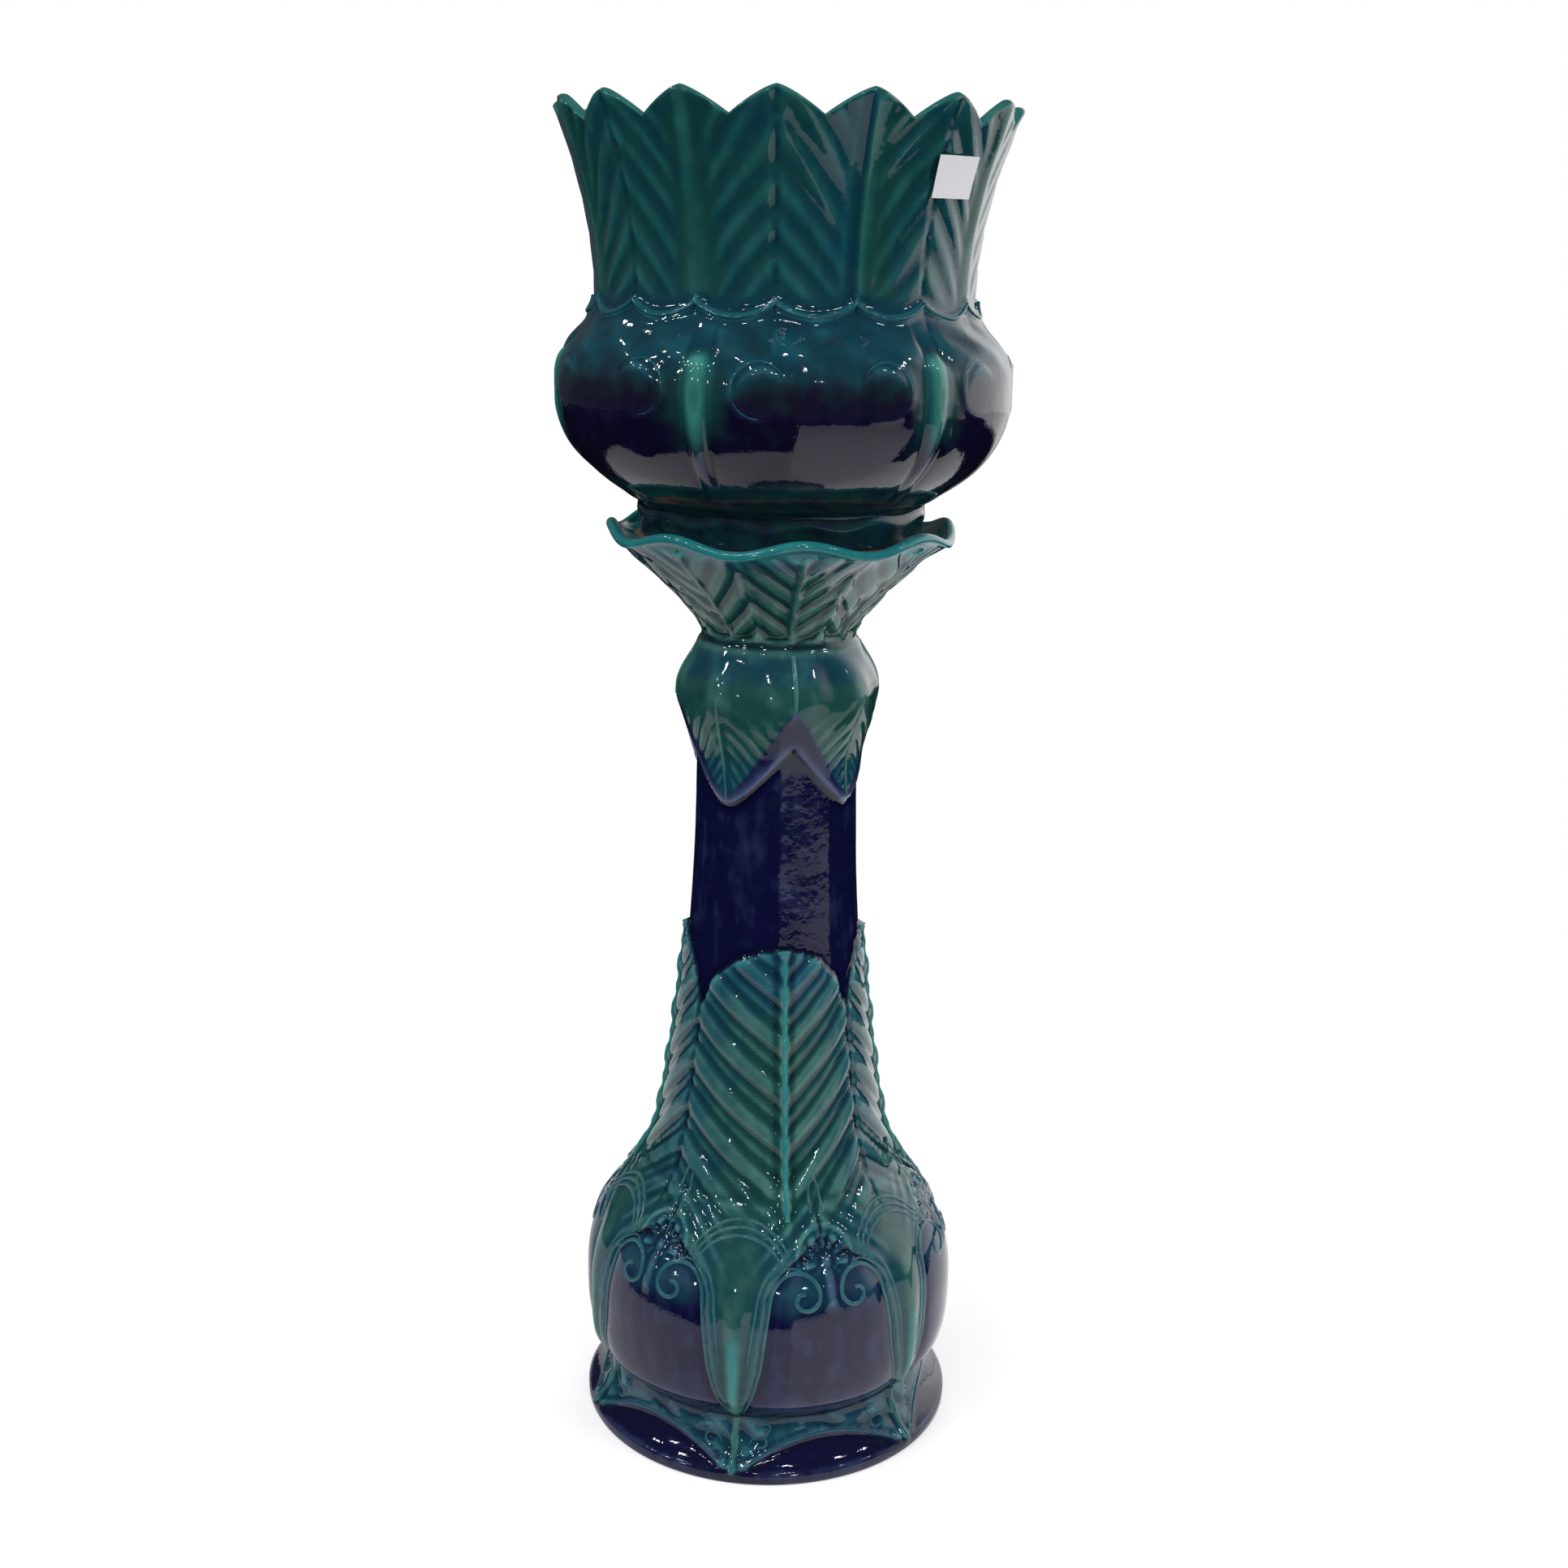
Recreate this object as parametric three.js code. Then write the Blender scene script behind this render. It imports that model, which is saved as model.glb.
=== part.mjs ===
// Majolica jardiniere on its pedestal: two hollow castings of glazed earthenware.
// The loose jardiniere stands in the dished top of the pedestal, which is open underneath.
//
// Millimetres, +Z up. The origin is the middle of the pedestal's underside. An azimuth is
// measured in degrees from the front, -Y, towards +X.

import * as THREE from 'three';

// ---- pedestal: heights are rises from the ring below, slopes are mm outwards per mm up ----
const FOOT_RADIUS = 137;
const FOOT_EDGE_HEIGHT = 8;
const FOOT_EDGE_ROUNDING = 2;
const FOOT_REST_WIDTH = 14;
const FOOT_RISE = 34;
const FOOT_SLOPE = -1.3;
const CREASE_RADIUS = 117;
const BULB_UNDER_SLOPE = 0.8;
const BULB_RISE = 62;
const BULB_RADIUS = 132;
const SHOULDER_RISE = 81;
const SHOULDER_RADIUS = 102;
const SHOULDER_SLOPE = -0.82;
const TRUNK_RISE = 56;
const TRUNK_RADIUS = 78;
const TRUNK_SLOPE = -0.17;
const LEAF_TOP_RISE = 134;
const LEAF_TOP_RADIUS = 61.7;
const LEAF_TOP_SLOPE = -0.076;
const SHAFT_RISE = 126;
const SHAFT_RADIUS = 57;
const KNOP_RISE = 53;
const KNOP_RADIUS = 68;
const NECK_RISE = 40;
const NECK_RADIUS = 53;
const TRUMPET_RISE = 68;
const TRUMPET_RADIUS = 118;
const TRUMPET_SLOPE = 1.1;
const NECK_FLARE = 0.5;
const PEDESTAL_WALL = 8;
const LIP_HEIGHT = 5;
const LIP_ROLL = 2;

// ---- the dished top, and how the jardiniere's foot sits in it ----
const SEAT_DEPTH = 7;
const SEAT_THICKNESS = 9;
const SEAT_CLEARANCE = 3;
const SEAT_GAP = 0.2;

// ---- jardiniere ----
const BOWL_FOOT_RADIUS = 97;
const BOWL_FOOT_RISE = 24;
const BOWL_FOOT_FLARE = 1.5;
const BOWL_FOOT_WIDTH = 10;
const BOWL_FOOT_RECESS = 3;
const BELLY_RISE = 76;
const BELLY_RADIUS = 152;
const BELLY_UNDER_SLOPE = 1.75;
const BELLY_SHOULDER_RISE = 35;
const BELLY_SHOULDER_RADIUS = 139;
const BELLY_SHOULDER_SLOPE = -0.95;
const WAIST_RISE = 22;
const WAIST_RADIUS = 127;
const COLLAR_RISE = 122;
const COLLAR_RADIUS = 154;
const COLLAR_SLOPE = 0.42;
const BOWL_WALL = 8;
const BOWL_FLOOR = 11;
const RIM_EDGE = 4;

// ---- moulded ornament: how many, where the first one is, and how deep ----
const COLLAR_LEAVES = 8;
const COLLAR_TIPS = 2 * COLLAR_LEAVES;
const COLLAR_PHASE = -2.6;
const COLLAR_NOTCH = 16;
const COLLAR_NOTCH_SPAN = 60;
const COLLAR_TIP_POWER = 1.3;
const COLLAR_MIDRIB_HEIGHT = 2.5;
const COLLAR_TIP_RIDGE = 1.5;
const BELLY_LOBES = 6;
const BELLY_PHASE = 9.4;
const BELLY_LOBE_DEPTH = 5;
const BELLY_STEM_HEIGHT = 5;
const BELLY_STEM_WIDTH = 8;
const RIM_WAVES = 8;
const PEDESTAL_PHASE = 7.5;
const RIM_WAVE_HEIGHT = 4;
const TRUMPET_RIDGE = 2;
const LEAF_COUNT = 4;
const KNOP_LEAF_DROP = 116;
const KNOP_NOTCH_DROP = 64;
const KNOP_LEAF_DEPTH = 2.5;
const KNOP_LOBE_DEPTH = 2;
const TRUNK_LEAF_HALF_WIDTH = 43;
const TRUNK_LEAF_ROUND = 60;
const TRUNK_LEAF_DEPTH = 1.5;
const TRUNK_RIB_PITCH = 36;
const TRUNK_RIB_START = 14;
const TRUNK_RIB_SLOPE = 1.05;
const TRUNK_RIB_HEIGHT = 3.5;
const TRUNK_MIDRIB_WIDTH = 5;
const TRUNK_MIDRIB_HEIGHT = 2;
const BULB_BOSSES = 6;
const BULB_PHASE = 20;
const BULB_BOSS_DEPTH = 6;
const BULB_STEM_HEIGHT = 5;
const BULB_STEM_WIDTH = 9;
const FOOT_LEAF_HEIGHT = 2.5;
const EDGE_SOFTNESS = 9;
const LEAF_EDGE_ANGLE = 9;
const RIM_WAVE_SPAN = 22;

// ---- facets ----
const PEDESTAL_SEGMENTS = 64;
const BOWL_SEGMENTS = 64;
const HOLLOW_ROWS_SHARE = 0.21;
const BOWL_INSIDE_ROWS_SHARE = 0.4;
const LEAST_RING_GAP = 1;

// ---- heights of the rings, built up from the floor ----
const CREASE_Z = FOOT_EDGE_HEIGHT + FOOT_RISE;
const BULB_Z = CREASE_Z + BULB_RISE;
const SHOULDER_Z = BULB_Z + SHOULDER_RISE;
const TRUNK_Z = SHOULDER_Z + TRUNK_RISE;
const LEAF_TOP_Z = TRUNK_Z + LEAF_TOP_RISE;
const SHAFT_Z = LEAF_TOP_Z + SHAFT_RISE;
const KNOP_Z = SHAFT_Z + KNOP_RISE;
const NECK_Z = KNOP_Z + NECK_RISE;
const LIP_Z = NECK_Z + TRUMPET_RISE;
const CREST_Z = LIP_Z + LIP_HEIGHT;
const SEAT_Z = CREST_Z - SEAT_DEPTH;
const BOWL_Z = SEAT_Z + SEAT_GAP;
const BOWL_FOOT_Z = BOWL_Z + BOWL_FOOT_RISE;
const BELLY_Z = BOWL_FOOT_Z + BELLY_RISE;
const BELLY_SHOULDER_Z = BELLY_Z + BELLY_SHOULDER_RISE;
const WAIST_Z = BELLY_SHOULDER_Z + WAIST_RISE;
const COLLAR_Z = WAIST_Z + COLLAR_RISE;

// ---- small helpers ----

/** 0 below `low`, 1 above `high`, and a smooth ramp between them. */
const ramp = (value, low, high) => THREE.MathUtils.smoothstep(value, low, high);

/** 1 in the middle of a stretch and 0 past its ends, with a ramp of `soft` at either end. */
const band = (value, low, high, soft) =>
  ramp(value, low, low + soft) * (1 - ramp(value, high - soft, high));

/** A rounded ridge across `offset`: 1 on its crest and 0 from `width` outwards. */
const ridge = (offset, width) => {
  const part = Math.min(Math.abs(offset) / width, 1);
  return Math.sqrt(1 - part * part) * (1 - part * part);
};

/** Degrees from the nearest of `count` even places round the axis, the first at `phase`. */
const fromNearest = (azimuth, count, phase) => {
  const pitch = 360 / count;
  const turns = (azimuth - phase) / pitch;
  return (turns - Math.round(turns)) * pitch;
};

/** 1 at each of `count` places round the axis, 0 midway between them, and a wave between. */
const wave = (azimuth, count, phase) =>
  0.5 + 0.5 * Math.cos(THREE.MathUtils.degToRad((azimuth - phase) * count));

// ---- outlines: a chain of smooth spans, each from the ring below to its own ring ----

/** Radius at a height on one span, a cubic that leaves and arrives at the given slopes. */
function spanRadius(span, part) {
  const rise = span.to.z - span.from.z;
  const a = part * part * (3 - 2 * part);
  const leave = part * (1 - part) ** 2 * rise * span.leave;
  const arrive = part ** 2 * (part - 1) * rise * span.arrive;
  return span.from.r * (1 - a) + span.to.r * a + leave + arrive;
}

/** Rings of an outline from bottom to top, with `share` of the rows that each span asks for. */
function outlineRings(spans, share = 1) {
  const rings = [{ r: spans[0].from.r, z: spans[0].from.z }];
  for (const span of spans) {
    const rows = Math.max(1, Math.ceil(span.rows * share));
    for (let row = 1; row <= rows; row += 1) {
      const part = row / rows;
      const z = THREE.MathUtils.lerp(span.from.z, span.to.z, part);
      rings.push({ r: spanRadius(span, part), z });
    }
  }
  return rings;
}

/** Radius of an outline at any height. */
function outlineRadius(spans, z) {
  const span = spans.find((one) => z <= one.to.z) ?? spans[spans.length - 1];
  const part = (z - span.from.z) / (span.to.z - span.from.z);
  return spanRadius(span, THREE.MathUtils.clamp(part, 0, 1));
}

/** Join a list of rings and the slopes between them into spans. */
function chain(start, steps) {
  let from = start;
  return steps.map(({ z, r, leave = 0, arrive = 0, rows }) => {
    const span = { from, to: { z, r }, leave, arrive, rows };
    from = span.to;
    return span;
  });
}

const PEDESTAL_SPANS = chain({ z: FOOT_EDGE_HEIGHT, r: FOOT_RADIUS }, [
  { z: CREASE_Z, r: CREASE_RADIUS, leave: FOOT_SLOPE, rows: 3 },
  { z: BULB_Z, r: BULB_RADIUS, leave: BULB_UNDER_SLOPE, rows: 5 },
  { z: SHOULDER_Z, r: SHOULDER_RADIUS, arrive: SHOULDER_SLOPE, rows: 6 },
  { z: TRUNK_Z, r: TRUNK_RADIUS, leave: SHOULDER_SLOPE, arrive: TRUNK_SLOPE, rows: 6 },
  { z: LEAF_TOP_Z, r: LEAF_TOP_RADIUS, leave: TRUNK_SLOPE, arrive: LEAF_TOP_SLOPE, rows: 13 },
  { z: SHAFT_Z, r: SHAFT_RADIUS, leave: LEAF_TOP_SLOPE, rows: 4 },
  { z: KNOP_Z, r: KNOP_RADIUS, rows: 5 },
  { z: NECK_Z, r: NECK_RADIUS, rows: 4 },
  { z: LIP_Z, r: TRUMPET_RADIUS, leave: NECK_FLARE, arrive: TRUMPET_SLOPE, rows: 6 },
]);

const BOWL_SPANS = chain({ z: BOWL_Z, r: BOWL_FOOT_RADIUS }, [
  { z: BOWL_FOOT_Z, r: BOWL_FOOT_RADIUS + BOWL_FOOT_FLARE, rows: 2 },
  { z: BELLY_Z, r: BELLY_RADIUS, leave: BELLY_UNDER_SLOPE, rows: 7 },
  { z: BELLY_SHOULDER_Z, r: BELLY_SHOULDER_RADIUS, arrive: BELLY_SHOULDER_SLOPE, rows: 4 },
  { z: WAIST_Z, r: WAIST_RADIUS, leave: BELLY_SHOULDER_SLOPE, rows: 3 },
  { z: COLLAR_Z, r: COLLAR_RADIUS, arrive: COLLAR_SLOPE, rows: 8 },
]);

// ---- ornament of the pedestal, in millimetres outwards from its plain outline ----

/** Rising leaf ribs under the wavy lip. */
function trumpetRelief(azimuth, z) {
  const rise = ramp(z, NECK_Z, NECK_Z + TRUMPET_RISE / 2);
  return TRUMPET_RIDGE * rise * (wave(azimuth, RIM_WAVES, PEDESTAL_PHASE) - 0.5);
}

/** Leaves that hang over the knop, four pointed tips with notches between them. */
function knopRelief(azimuth, z) {
  const tipPhase = PEDESTAL_PHASE + 180 / LEAF_COUNT;
  const offset = Math.abs(fromNearest(azimuth, LEAF_COUNT, tipPhase)) / (180 / LEAF_COUNT);
  const edgeZ = NECK_Z - THREE.MathUtils.lerp(KNOP_LEAF_DROP, KNOP_NOTCH_DROP, offset);
  const leaf = ramp(z, edgeZ, edgeZ + EDGE_SOFTNESS) * (1 - ramp(z, KNOP_Z, NECK_Z));
  const lobe = band(z, SHAFT_Z, NECK_Z, KNOP_RISE / 2) * (0.5 - offset);
  return KNOP_LEAF_DEPTH * leaf + KNOP_LOBE_DEPTH * lobe;
}

/** Tall leaves that climb the trunk: a midrib up each, and broad ribs that rise from it. */
function trunkRelief(azimuth, z) {
  const below = THREE.MathUtils.clamp((LEAF_TOP_Z - z) / TRUNK_LEAF_ROUND, 0, 1);
  const halfWidth = TRUNK_LEAF_HALF_WIDTH * Math.sqrt(1 - (1 - below) ** 2);
  const offset = Math.abs(fromNearest(azimuth, LEAF_COUNT, PEDESTAL_PHASE));
  const inside = 1 - ramp(offset, halfWidth - LEAF_EDGE_ANGLE / 2, halfWidth + LEAF_EDGE_ANGLE / 2);
  const across = THREE.MathUtils.degToRad(offset) * outlineRadius(PEDESTAL_SPANS, z);
  const rise = (z - SHOULDER_Z - TRUNK_RIB_START - TRUNK_RIB_SLOPE * across) / TRUNK_RIB_PITCH;
  const rib = TRUNK_RIB_HEIGHT * (0.5 + 0.5 * Math.cos(2 * Math.PI * rise));
  const midrib = TRUNK_MIDRIB_HEIGHT * ridge(across, TRUNK_MIDRIB_WIDTH);
  return (TRUNK_LEAF_DEPTH + rib + midrib) * inside * ramp(z, SHOULDER_Z - BULB_RISE / 2, SHOULDER_Z);
}

/** Smooth bosses round the bulb, and the stems between them that branch out above. */
function bulbRelief(azimuth, z) {
  const pitch = 360 / BULB_BOSSES;
  const fromBoss = fromNearest(azimuth, BULB_BOSSES, BULB_PHASE);
  const fromStem = fromNearest(azimuth, BULB_BOSSES, BULB_PHASE + pitch / 2);
  const bossWidth = pitch / 2 - BULB_STEM_WIDTH / 2;
  const bossTop = SHOULDER_Z - EDGE_SOFTNESS;
  const bossHeight = (bossTop - CREASE_Z) / 2;
  const fromMiddle = (z - CREASE_Z - bossHeight) / bossHeight;
  const boss = ridge(Math.hypot(fromBoss / bossWidth, fromMiddle), 1);
  const stemWidth = BULB_STEM_WIDTH * (1 + ramp(z, BULB_Z, SHOULDER_Z));
  const stem = ridge(fromStem, stemWidth) * band(z, CREASE_Z, SHOULDER_Z + EDGE_SOFTNESS, EDGE_SOFTNESS);
  return BULB_BOSS_DEPTH * boss + BULB_STEM_HEIGHT * stem;
}

/** A leaf on the foot under each stem. */
function footRelief(azimuth, z) {
  const fromStem = fromNearest(azimuth, BULB_BOSSES, BULB_PHASE + 180 / BULB_BOSSES);
  return FOOT_LEAF_HEIGHT * ridge(fromStem, 2 * BULB_STEM_WIDTH) * band(z, 0, CREASE_Z, EDGE_SOFTNESS);
}

/** Where a point of the pedestal's skin goes: the outside carries relief, the lip its waves. */
function shapePedestal(point, azimuth) {
  const { z } = point;
  const foot = point.outside ? CREST_Z - RIM_WAVE_SPAN : SEAT_Z;
  const lift = ramp(z, foot, CREST_Z) * RIM_WAVE_HEIGHT;
  const swell = 2 * wave(azimuth, RIM_WAVES, PEDESTAL_PHASE) - 1;
  const relief = point.outside
    ? trumpetRelief(azimuth, z) + knopRelief(azimuth, z) + trunkRelief(azimuth, z)
      + bulbRelief(azimuth, z) + footRelief(azimuth, z)
    : 0;
  return { r: point.r + relief, z: z + lift * swell };
}

// ---- ornament of the jardiniere ----

/** How far the collar's edge lies under its points: each leaf ends in two of them. */
function collarDip(azimuth) {
  const pitch = 360 / COLLAR_TIPS;
  const offset = Math.abs(fromNearest(azimuth, COLLAR_TIPS, COLLAR_PHASE)) / (pitch / 2);
  return COLLAR_NOTCH * offset ** COLLAR_TIP_POWER;
}

/** Broad upright leaves round the collar: a midrib up each, and a ridge to each point. */
function collarRelief(azimuth, z) {
  const midrib = wave(azimuth, COLLAR_LEAVES, COLLAR_PHASE + 180 / COLLAR_LEAVES) - 0.5;
  const point = wave(azimuth, COLLAR_TIPS, COLLAR_PHASE) - 0.5;
  const upper = ramp(z, (WAIST_Z + COLLAR_Z) / 2, COLLAR_Z);
  const rise = ramp(z, WAIST_Z - EDGE_SOFTNESS, WAIST_Z + EDGE_SOFTNESS);
  return rise * (COLLAR_MIDRIB_HEIGHT * midrib * (1 - upper) + COLLAR_TIP_RIDGE * point * upper);
}

/** Lobes round the belly with a raised stem between each two. */
function bellyRelief(azimuth, z) {
  const pitch = 360 / BELLY_LOBES;
  const lobeHeight = band(z, BOWL_FOOT_Z, WAIST_Z, WAIST_RISE);
  const lobe = wave(azimuth, BELLY_LOBES, BELLY_PHASE) - 0.5;
  const fromStem = fromNearest(azimuth, BELLY_LOBES, BELLY_PHASE + pitch / 2);
  const stemTop = BELLY_SHOULDER_Z + EDGE_SOFTNESS / 2;
  const stem = ridge(fromStem, BELLY_STEM_WIDTH) * band(z, BOWL_FOOT_Z, stemTop, EDGE_SOFTNESS);
  return BELLY_LOBE_DEPTH * lobe * lobeHeight + BELLY_STEM_HEIGHT * stem;
}

/** Where a point of the jardiniere's skin goes: the collar's edge drops between its tips. */
function shapeBowl(point, azimuth) {
  const drop = collarDip(azimuth) * ramp(point.z, COLLAR_Z - COLLAR_NOTCH_SPAN, COLLAR_Z);
  const z = point.z - drop;
  const follow = outlineRadius(BOWL_SPANS, z) - outlineRadius(BOWL_SPANS, point.z);
  const relief = point.outside ? bellyRelief(azimuth, z) + collarRelief(azimuth, z) : 0;
  return { r: point.r + follow + relief, z };
}

// ---- castings: a closed outline turned round the axis, then shaped point by point ----

/** Turn a profile into a casting and move every point to where its ornament puts it. */
function casting(name, profile, segments, startAzimuth, shape, material) {
  const start = THREE.MathUtils.degToRad(startAzimuth);
  const points = profile.map(({ r, z }) => new THREE.Vector2(r, z));
  const geometry = new THREE.LatheGeometry(points, segments, start);
  const position = geometry.getAttribute('position');
  for (let index = 0; index < position.count; index += 1) {
    const column = Math.floor(index / profile.length) % segments;
    const turn = start + (column / segments) * 2 * Math.PI;
    const place = shape(profile[index % profile.length], THREE.MathUtils.radToDeg(turn));
    position.setXYZ(index, place.r * Math.sin(turn), -place.r * Math.cos(turn), place.z);
  }
  geometry.computeVertexNormals();
  const mesh = new THREE.Mesh(geometry, material);
  mesh.name = name;
  return mesh;
}

/** Points of one skin of a wall, from a list of rings. */
const skin = (rings, outside, inset = 0) =>
  rings.map(({ r, z }) => ({ r: Math.max(r - inset, 0), z, outside }));

function pedestalProfile() {
  const undersideZ = SEAT_Z - SEAT_THICKNESS;
  const undersideRadius = outlineRadius(PEDESTAL_SPANS, undersideZ) - PEDESTAL_WALL;
  const hollow = outlineRings(PEDESTAL_SPANS, HOLLOW_ROWS_SHARE)
    .filter(({ z }) => z < undersideZ - LEAST_RING_GAP);
  const seatRadius = BOWL_FOOT_RADIUS + SEAT_CLEARANCE;
  const rollZ = (LIP_Z + CREST_Z) / 2;
  return [
    { r: 0, z: undersideZ },
    { r: undersideRadius, z: undersideZ },
    ...skin(hollow.reverse(), false, PEDESTAL_WALL).slice(0, -1),
    { r: FOOT_RADIUS - FOOT_REST_WIDTH, z: 0 },
    { r: FOOT_RADIUS - FOOT_EDGE_ROUNDING, z: 0 },
    { r: FOOT_RADIUS, z: FOOT_EDGE_ROUNDING },
    ...skin(outlineRings(PEDESTAL_SPANS), true),
    { r: TRUMPET_RADIUS + LIP_ROLL, z: rollZ, outside: true },
    { r: TRUMPET_RADIUS - LIP_ROLL, z: CREST_Z, outside: true },
    { r: TRUMPET_RADIUS - PEDESTAL_WALL, z: rollZ },
    { r: seatRadius, z: SEAT_Z },
    { r: 0, z: SEAT_Z },
  ];
}

function bowlProfile() {
  const floorZ = BOWL_Z + BOWL_FLOOR;
  const inside = outlineRings(BOWL_SPANS, BOWL_INSIDE_ROWS_SHARE)
    .filter(({ z }) => z > floorZ + LEAST_RING_GAP);
  const floorRadius = outlineRadius(BOWL_SPANS, floorZ) - BOWL_WALL - BOWL_FLOOR / 2;
  const recessRadius = BOWL_FOOT_RADIUS - BOWL_FOOT_WIDTH;
  const crest = inside.pop();
  return [
    { r: 0, z: BOWL_Z + BOWL_FOOT_RECESS },
    { r: recessRadius - BOWL_FOOT_RECESS, z: BOWL_Z + BOWL_FOOT_RECESS },
    { r: recessRadius, z: BOWL_Z },
    ...skin(outlineRings(BOWL_SPANS), true),
    { r: crest.r - BOWL_WALL / 2, z: crest.z + RIM_EDGE / 2 },
    { r: crest.r - BOWL_WALL, z: crest.z },
    ...skin(inside.reverse(), false, BOWL_WALL),
    { r: floorRadius, z: floorZ },
    { r: 0, z: floorZ },
  ];
}

const pedestalGlaze = new THREE.MeshStandardMaterial({ color: 0x0f3f4a, roughness: 0.12, metalness: 0 });
const bowlGlaze = new THREE.MeshStandardMaterial({ color: 0x12504c, roughness: 0.12, metalness: 0 });

const group = new THREE.Group();
group.add(casting('pedestal_stand', pedestalProfile(), PEDESTAL_SEGMENTS, PEDESTAL_PHASE,
  shapePedestal, pedestalGlaze));
group.add(casting('jardiniere_bowl', bowlProfile(), BOWL_SEGMENTS, COLLAR_PHASE,
  shapeBowl, bowlGlaze));

export default group;
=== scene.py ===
"""Looks of a majolica jardiniere standing on its pedestal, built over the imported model.

Both castings are modelled again as dense closed skins. A plain outline is turned round the
axis, the modelled ornament is worked out for each point of it, and a Geometry Nodes tree
lifts the skin by that ornament and finds where the glaze has pooled. A second tree lays the
thin raised lines on the skin, such as midribs, borders and scrolls.

Ornament is written in millimetres and meshes are made in metres. An azimuth is in degrees
from the front, -Y, towards +X.
"""

import logging
import math
from collections.abc import Callable, Sequence
from dataclasses import dataclass, field
from enum import Enum

import bpy
import numpy as np
from mathutils import Matrix, Vector


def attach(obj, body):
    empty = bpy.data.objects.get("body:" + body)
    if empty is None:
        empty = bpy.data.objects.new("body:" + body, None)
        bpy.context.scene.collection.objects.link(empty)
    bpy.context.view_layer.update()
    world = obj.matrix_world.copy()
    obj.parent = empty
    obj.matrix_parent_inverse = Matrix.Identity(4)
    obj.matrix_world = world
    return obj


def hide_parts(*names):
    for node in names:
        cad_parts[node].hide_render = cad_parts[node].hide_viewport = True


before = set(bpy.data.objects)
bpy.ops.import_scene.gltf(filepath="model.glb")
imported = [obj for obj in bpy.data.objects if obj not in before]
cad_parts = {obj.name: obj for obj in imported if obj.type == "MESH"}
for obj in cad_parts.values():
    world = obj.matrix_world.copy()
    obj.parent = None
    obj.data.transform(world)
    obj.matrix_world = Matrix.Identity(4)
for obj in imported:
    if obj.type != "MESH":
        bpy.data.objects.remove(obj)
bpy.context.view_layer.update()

log = logging.getLogger("jardiniere")

MM = 0.001
PEDESTAL_NODE = "pedestal_stand"
BOWL_NODE = "jardiniere_bowl"


class Body(Enum):
    """What moves together: the pedestal stands, the jardiniere lifts off it."""

    PEDESTAL = "pedestal"
    JARDINIERE = "jardiniere"


class Slot(Enum):
    """The record's material slots."""

    PEDESTAL = "pedestal_glaze"
    BOWL = "bowl_glaze"
    LABEL = "paper_label"


# ---- numbers and angles ---------------------------------------------------------------


def smooth(value: np.ndarray, low: float, high: float) -> np.ndarray:
    """Return 0 at `low`, 1 at `high` and a smooth ramp between them."""
    part = np.clip((value - low) / (high - low), 0.0, 1.0)
    return part * part * (3.0 - 2.0 * part)


def band(value: np.ndarray, low: float, high: float, soft: float) -> np.ndarray:
    """Return 1 between `low` and `high`, with a ramp of `soft` inside either end."""
    return smooth(value, low, low + soft) * (1.0 - smooth(value, high - soft, high))


def bead(distance: np.ndarray, width: float | np.ndarray) -> np.ndarray:
    """Return a rounded ridge: 1 on its line and 0 from `width` outwards."""
    part = np.clip(np.abs(distance) / width, 0.0, 1.0)
    return (1.0 - part * part) ** 2


def dome(distance: np.ndarray) -> np.ndarray:
    """Return a full cushion shape: 1 in its middle, steep at its edge, 0 from 1 outwards."""
    part = np.clip(np.abs(distance), 0.0, 1.0)
    return np.sqrt(1.0 - part**2.4)


def plateau(phase: np.ndarray, share: float | np.ndarray, soft: float) -> np.ndarray:
    """Return a flat-topped rib at each whole number of `phase`, `share` of a turn wide."""
    turn = np.abs(phase - np.round(phase))
    return 1.0 - smooth(turn, share / 2.0 - soft, share / 2.0 + soft)


def nearest(azimuth: np.ndarray, count: int, phase: float) -> np.ndarray:
    """Return degrees from the nearest of `count` even places, the first at `phase`.

    Args:
        azimuth: Azimuths in degrees.
        count: How many places there are round the axis.
        phase: Azimuth of the first.

    Returns:
        The angles, negative before a place and positive past it.
    """
    pitch = 360.0 / count
    turns = (azimuth - phase) / pitch
    return (turns - np.round(turns)) * pitch


def arc(degrees: np.ndarray, radius: np.ndarray) -> np.ndarray:
    """Return the length round the axis that an angle covers at a radius."""
    return np.radians(degrees) * radius


def linear(colour: str) -> tuple[float, float, float, float]:
    """Turn an sRGB hex colour into the linear values that a node takes.

    Args:
        colour: Six hex digits with a leading #.

    Returns:
        Red, green, blue and an alpha of 1.
    """
    parts = [int(colour[at : at + 2], 16) / 255.0 for at in (1, 3, 5)]
    made = [p / 12.92 if p <= 0.04045 else ((p + 0.055) / 1.055) ** 2.4 for p in parts]
    return (made[0], made[1], made[2], 1.0)


# ---- outlines ---------------------------------------------------------------------------


@dataclass(frozen=True)
class Ring:
    """A level of an outline: height, radius, and the slope outwards below and above it."""

    z: float
    r: float
    below: float = 0.0
    above: float = 0.0


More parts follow.
